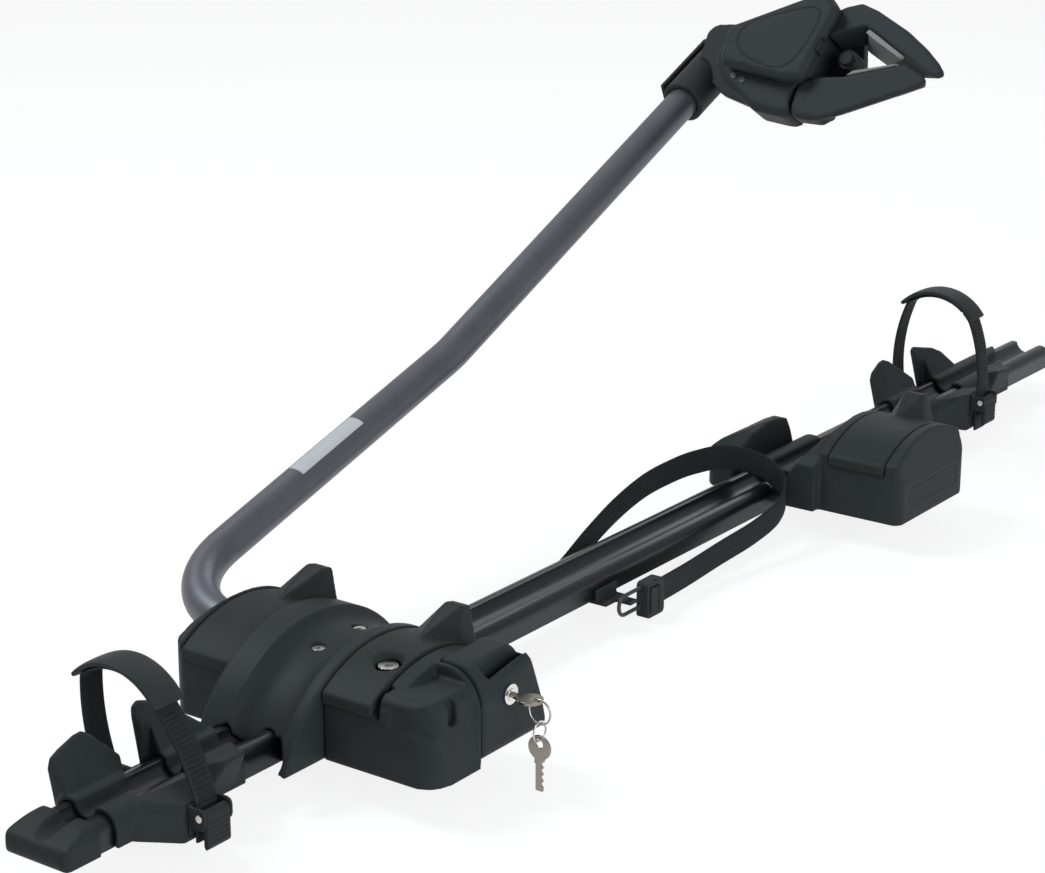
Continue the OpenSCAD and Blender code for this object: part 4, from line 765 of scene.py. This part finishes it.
# %% Floor
def seen_directly(tree):
    """1 for rays from the camera, from a reflection or through glass, else 0."""
    ray = wire(tree, "ShaderNodeLightPath").outputs
    both = wire(tree, "ShaderNodeMath", {0: ray["Is Camera Ray"], 1: ray["Is Glossy Ray"]},
                operation="MAXIMUM")
    return wire(tree, "ShaderNodeMath", {0: both.outputs["Value"], 1: ray["Is Transmission Ray"]},
                operation="MAXIMUM").outputs["Value"]


FLOOR_DROP, FLOOR_HALF = 4 * MM, 20.0
PAPER_TONE, GLOW, GLOW_SHARE = 0.86, 1.07, 0.8

floor_z = cad_box[0].z - FLOOR_DROP
corners = FLOOR_HALF * np.array([[-1, -1], [1, -1], [1, 1], [-1, 1]])
floor_mesh = bpy.data.meshes.new("studio_floor")
floor_mesh.from_pydata([(x, y, floor_z) for x, y in corners], [], [(0, 1, 2, 3)])
paper = bpy.data.materials.new("studio_paper")
paper.use_nodes = True
tree = paper.node_tree
tree.nodes.remove(tree.nodes["Principled BSDF"])
matt = wire(tree, "ShaderNodeBsdfDiffuse", {"Color": (PAPER_TONE, PAPER_TONE, PAPER_TONE, 1)})
white = wire(tree, "ShaderNodeEmission", {"Color": (1, 1, 1, 1), "Strength": GLOW})
share = wire(tree, "ShaderNodeMath", {0: seen_directly(tree), 1: GLOW_SHARE}, operation="MULTIPLY")
mixed = wire(tree, "ShaderNodeMixShader", {0: share.outputs["Value"], 1: matt.outputs["BSDF"],
                                           2: white.outputs["Emission"]})
tree.links.new(mixed.outputs["Shader"], tree.nodes["Material Output"].inputs["Surface"])
floor_mesh.materials.append(paper)
floor = bpy.data.objects.new("studio_floor", floor_mesh)
bpy.context.scene.collection.objects.link(floor)
print("floor at", round(floor_z, 4))

# %% World
SKY_LIGHT, MIRRORED_NEAR, MIRRORED_FAR = 0.32, 0.35, 0.65
FACING_NEAR, FACING_FAR = -0.4, 0.6

world = bpy.data.worlds.new("studio_world")
bpy.context.scene.world = world
world.use_nodes = True
sky = world.node_tree
way = wire(sky, "ShaderNodeTexCoord").outputs["Generated"]
facing = wire(sky, "ShaderNodeVectorMath", {0: way, 1: tuple(ahead)}, operation="DOT_PRODUCT")
mirrored = wire(sky, "ShaderNodeMapRange", {"Value": facing.outputs["Value"], "From Min": FACING_NEAR,
                                            "From Max": FACING_FAR, "To Min": MIRRORED_NEAR,
                                            "To Max": MIRRORED_FAR})
direct = wire(sky, "ShaderNodeLightPath").outputs["Is Camera Ray"]
seen = wire(sky, "ShaderNodeMath", {0: mirrored.outputs["Result"], 1: direct}, operation="MAXIMUM")
strength = wire(sky, "ShaderNodeMapRange", {"Value": seen_directly(sky), "To Min": SKY_LIGHT,
                                            "To Max": seen.outputs["Value"]})
sky.nodes["Background"].inputs["Color"].default_value = (1, 1, 1, 1)
sky.links.new(strength.outputs["Result"], sky.nodes["Background"].inputs["Strength"])
print("world", world.name)

# %% Lamps
LAMP_TINT = (0.90, 0.97, 1.0)
AIM = np.array([0.35, 0.05, 0.12])
LAMPS = {
    # place in metres, diameter in metres, power in watts
    "key_lamp": ((-0.4, 1.5, 2.5), 1.2, 56),
    "fill_lamp": ((-0.4, -2.6, 0.9), 1.8, 40),
    "back_lamp": ((2.4, 0.6, 1.8), 1.4, 10),
}


def lamp(name, place, size, watts):
    """Area lamp that faces AIM: its local -Z runs from its place to there."""
    light = bpy.data.lights.new(name, "AREA")
    light.shape, light.size, light.energy, light.color = "DISK", size, watts, LAMP_TINT
    shown = bpy.data.objects.new(name, light)
    back = unit(np.array(place) - AIM)
    side = unit(np.cross(Z, back))
    pose = np.eye(4)
    pose[:3, 0], pose[:3, 1], pose[:3, 2], pose[:3, 3] = side, np.cross(back, side), back, place
    shown.matrix_world = Matrix(pose.tolist())
    bpy.context.scene.collection.objects.link(shown)


for name, settings in LAMPS.items():
    lamp(name, *settings)
print(len(LAMPS), "lamps")
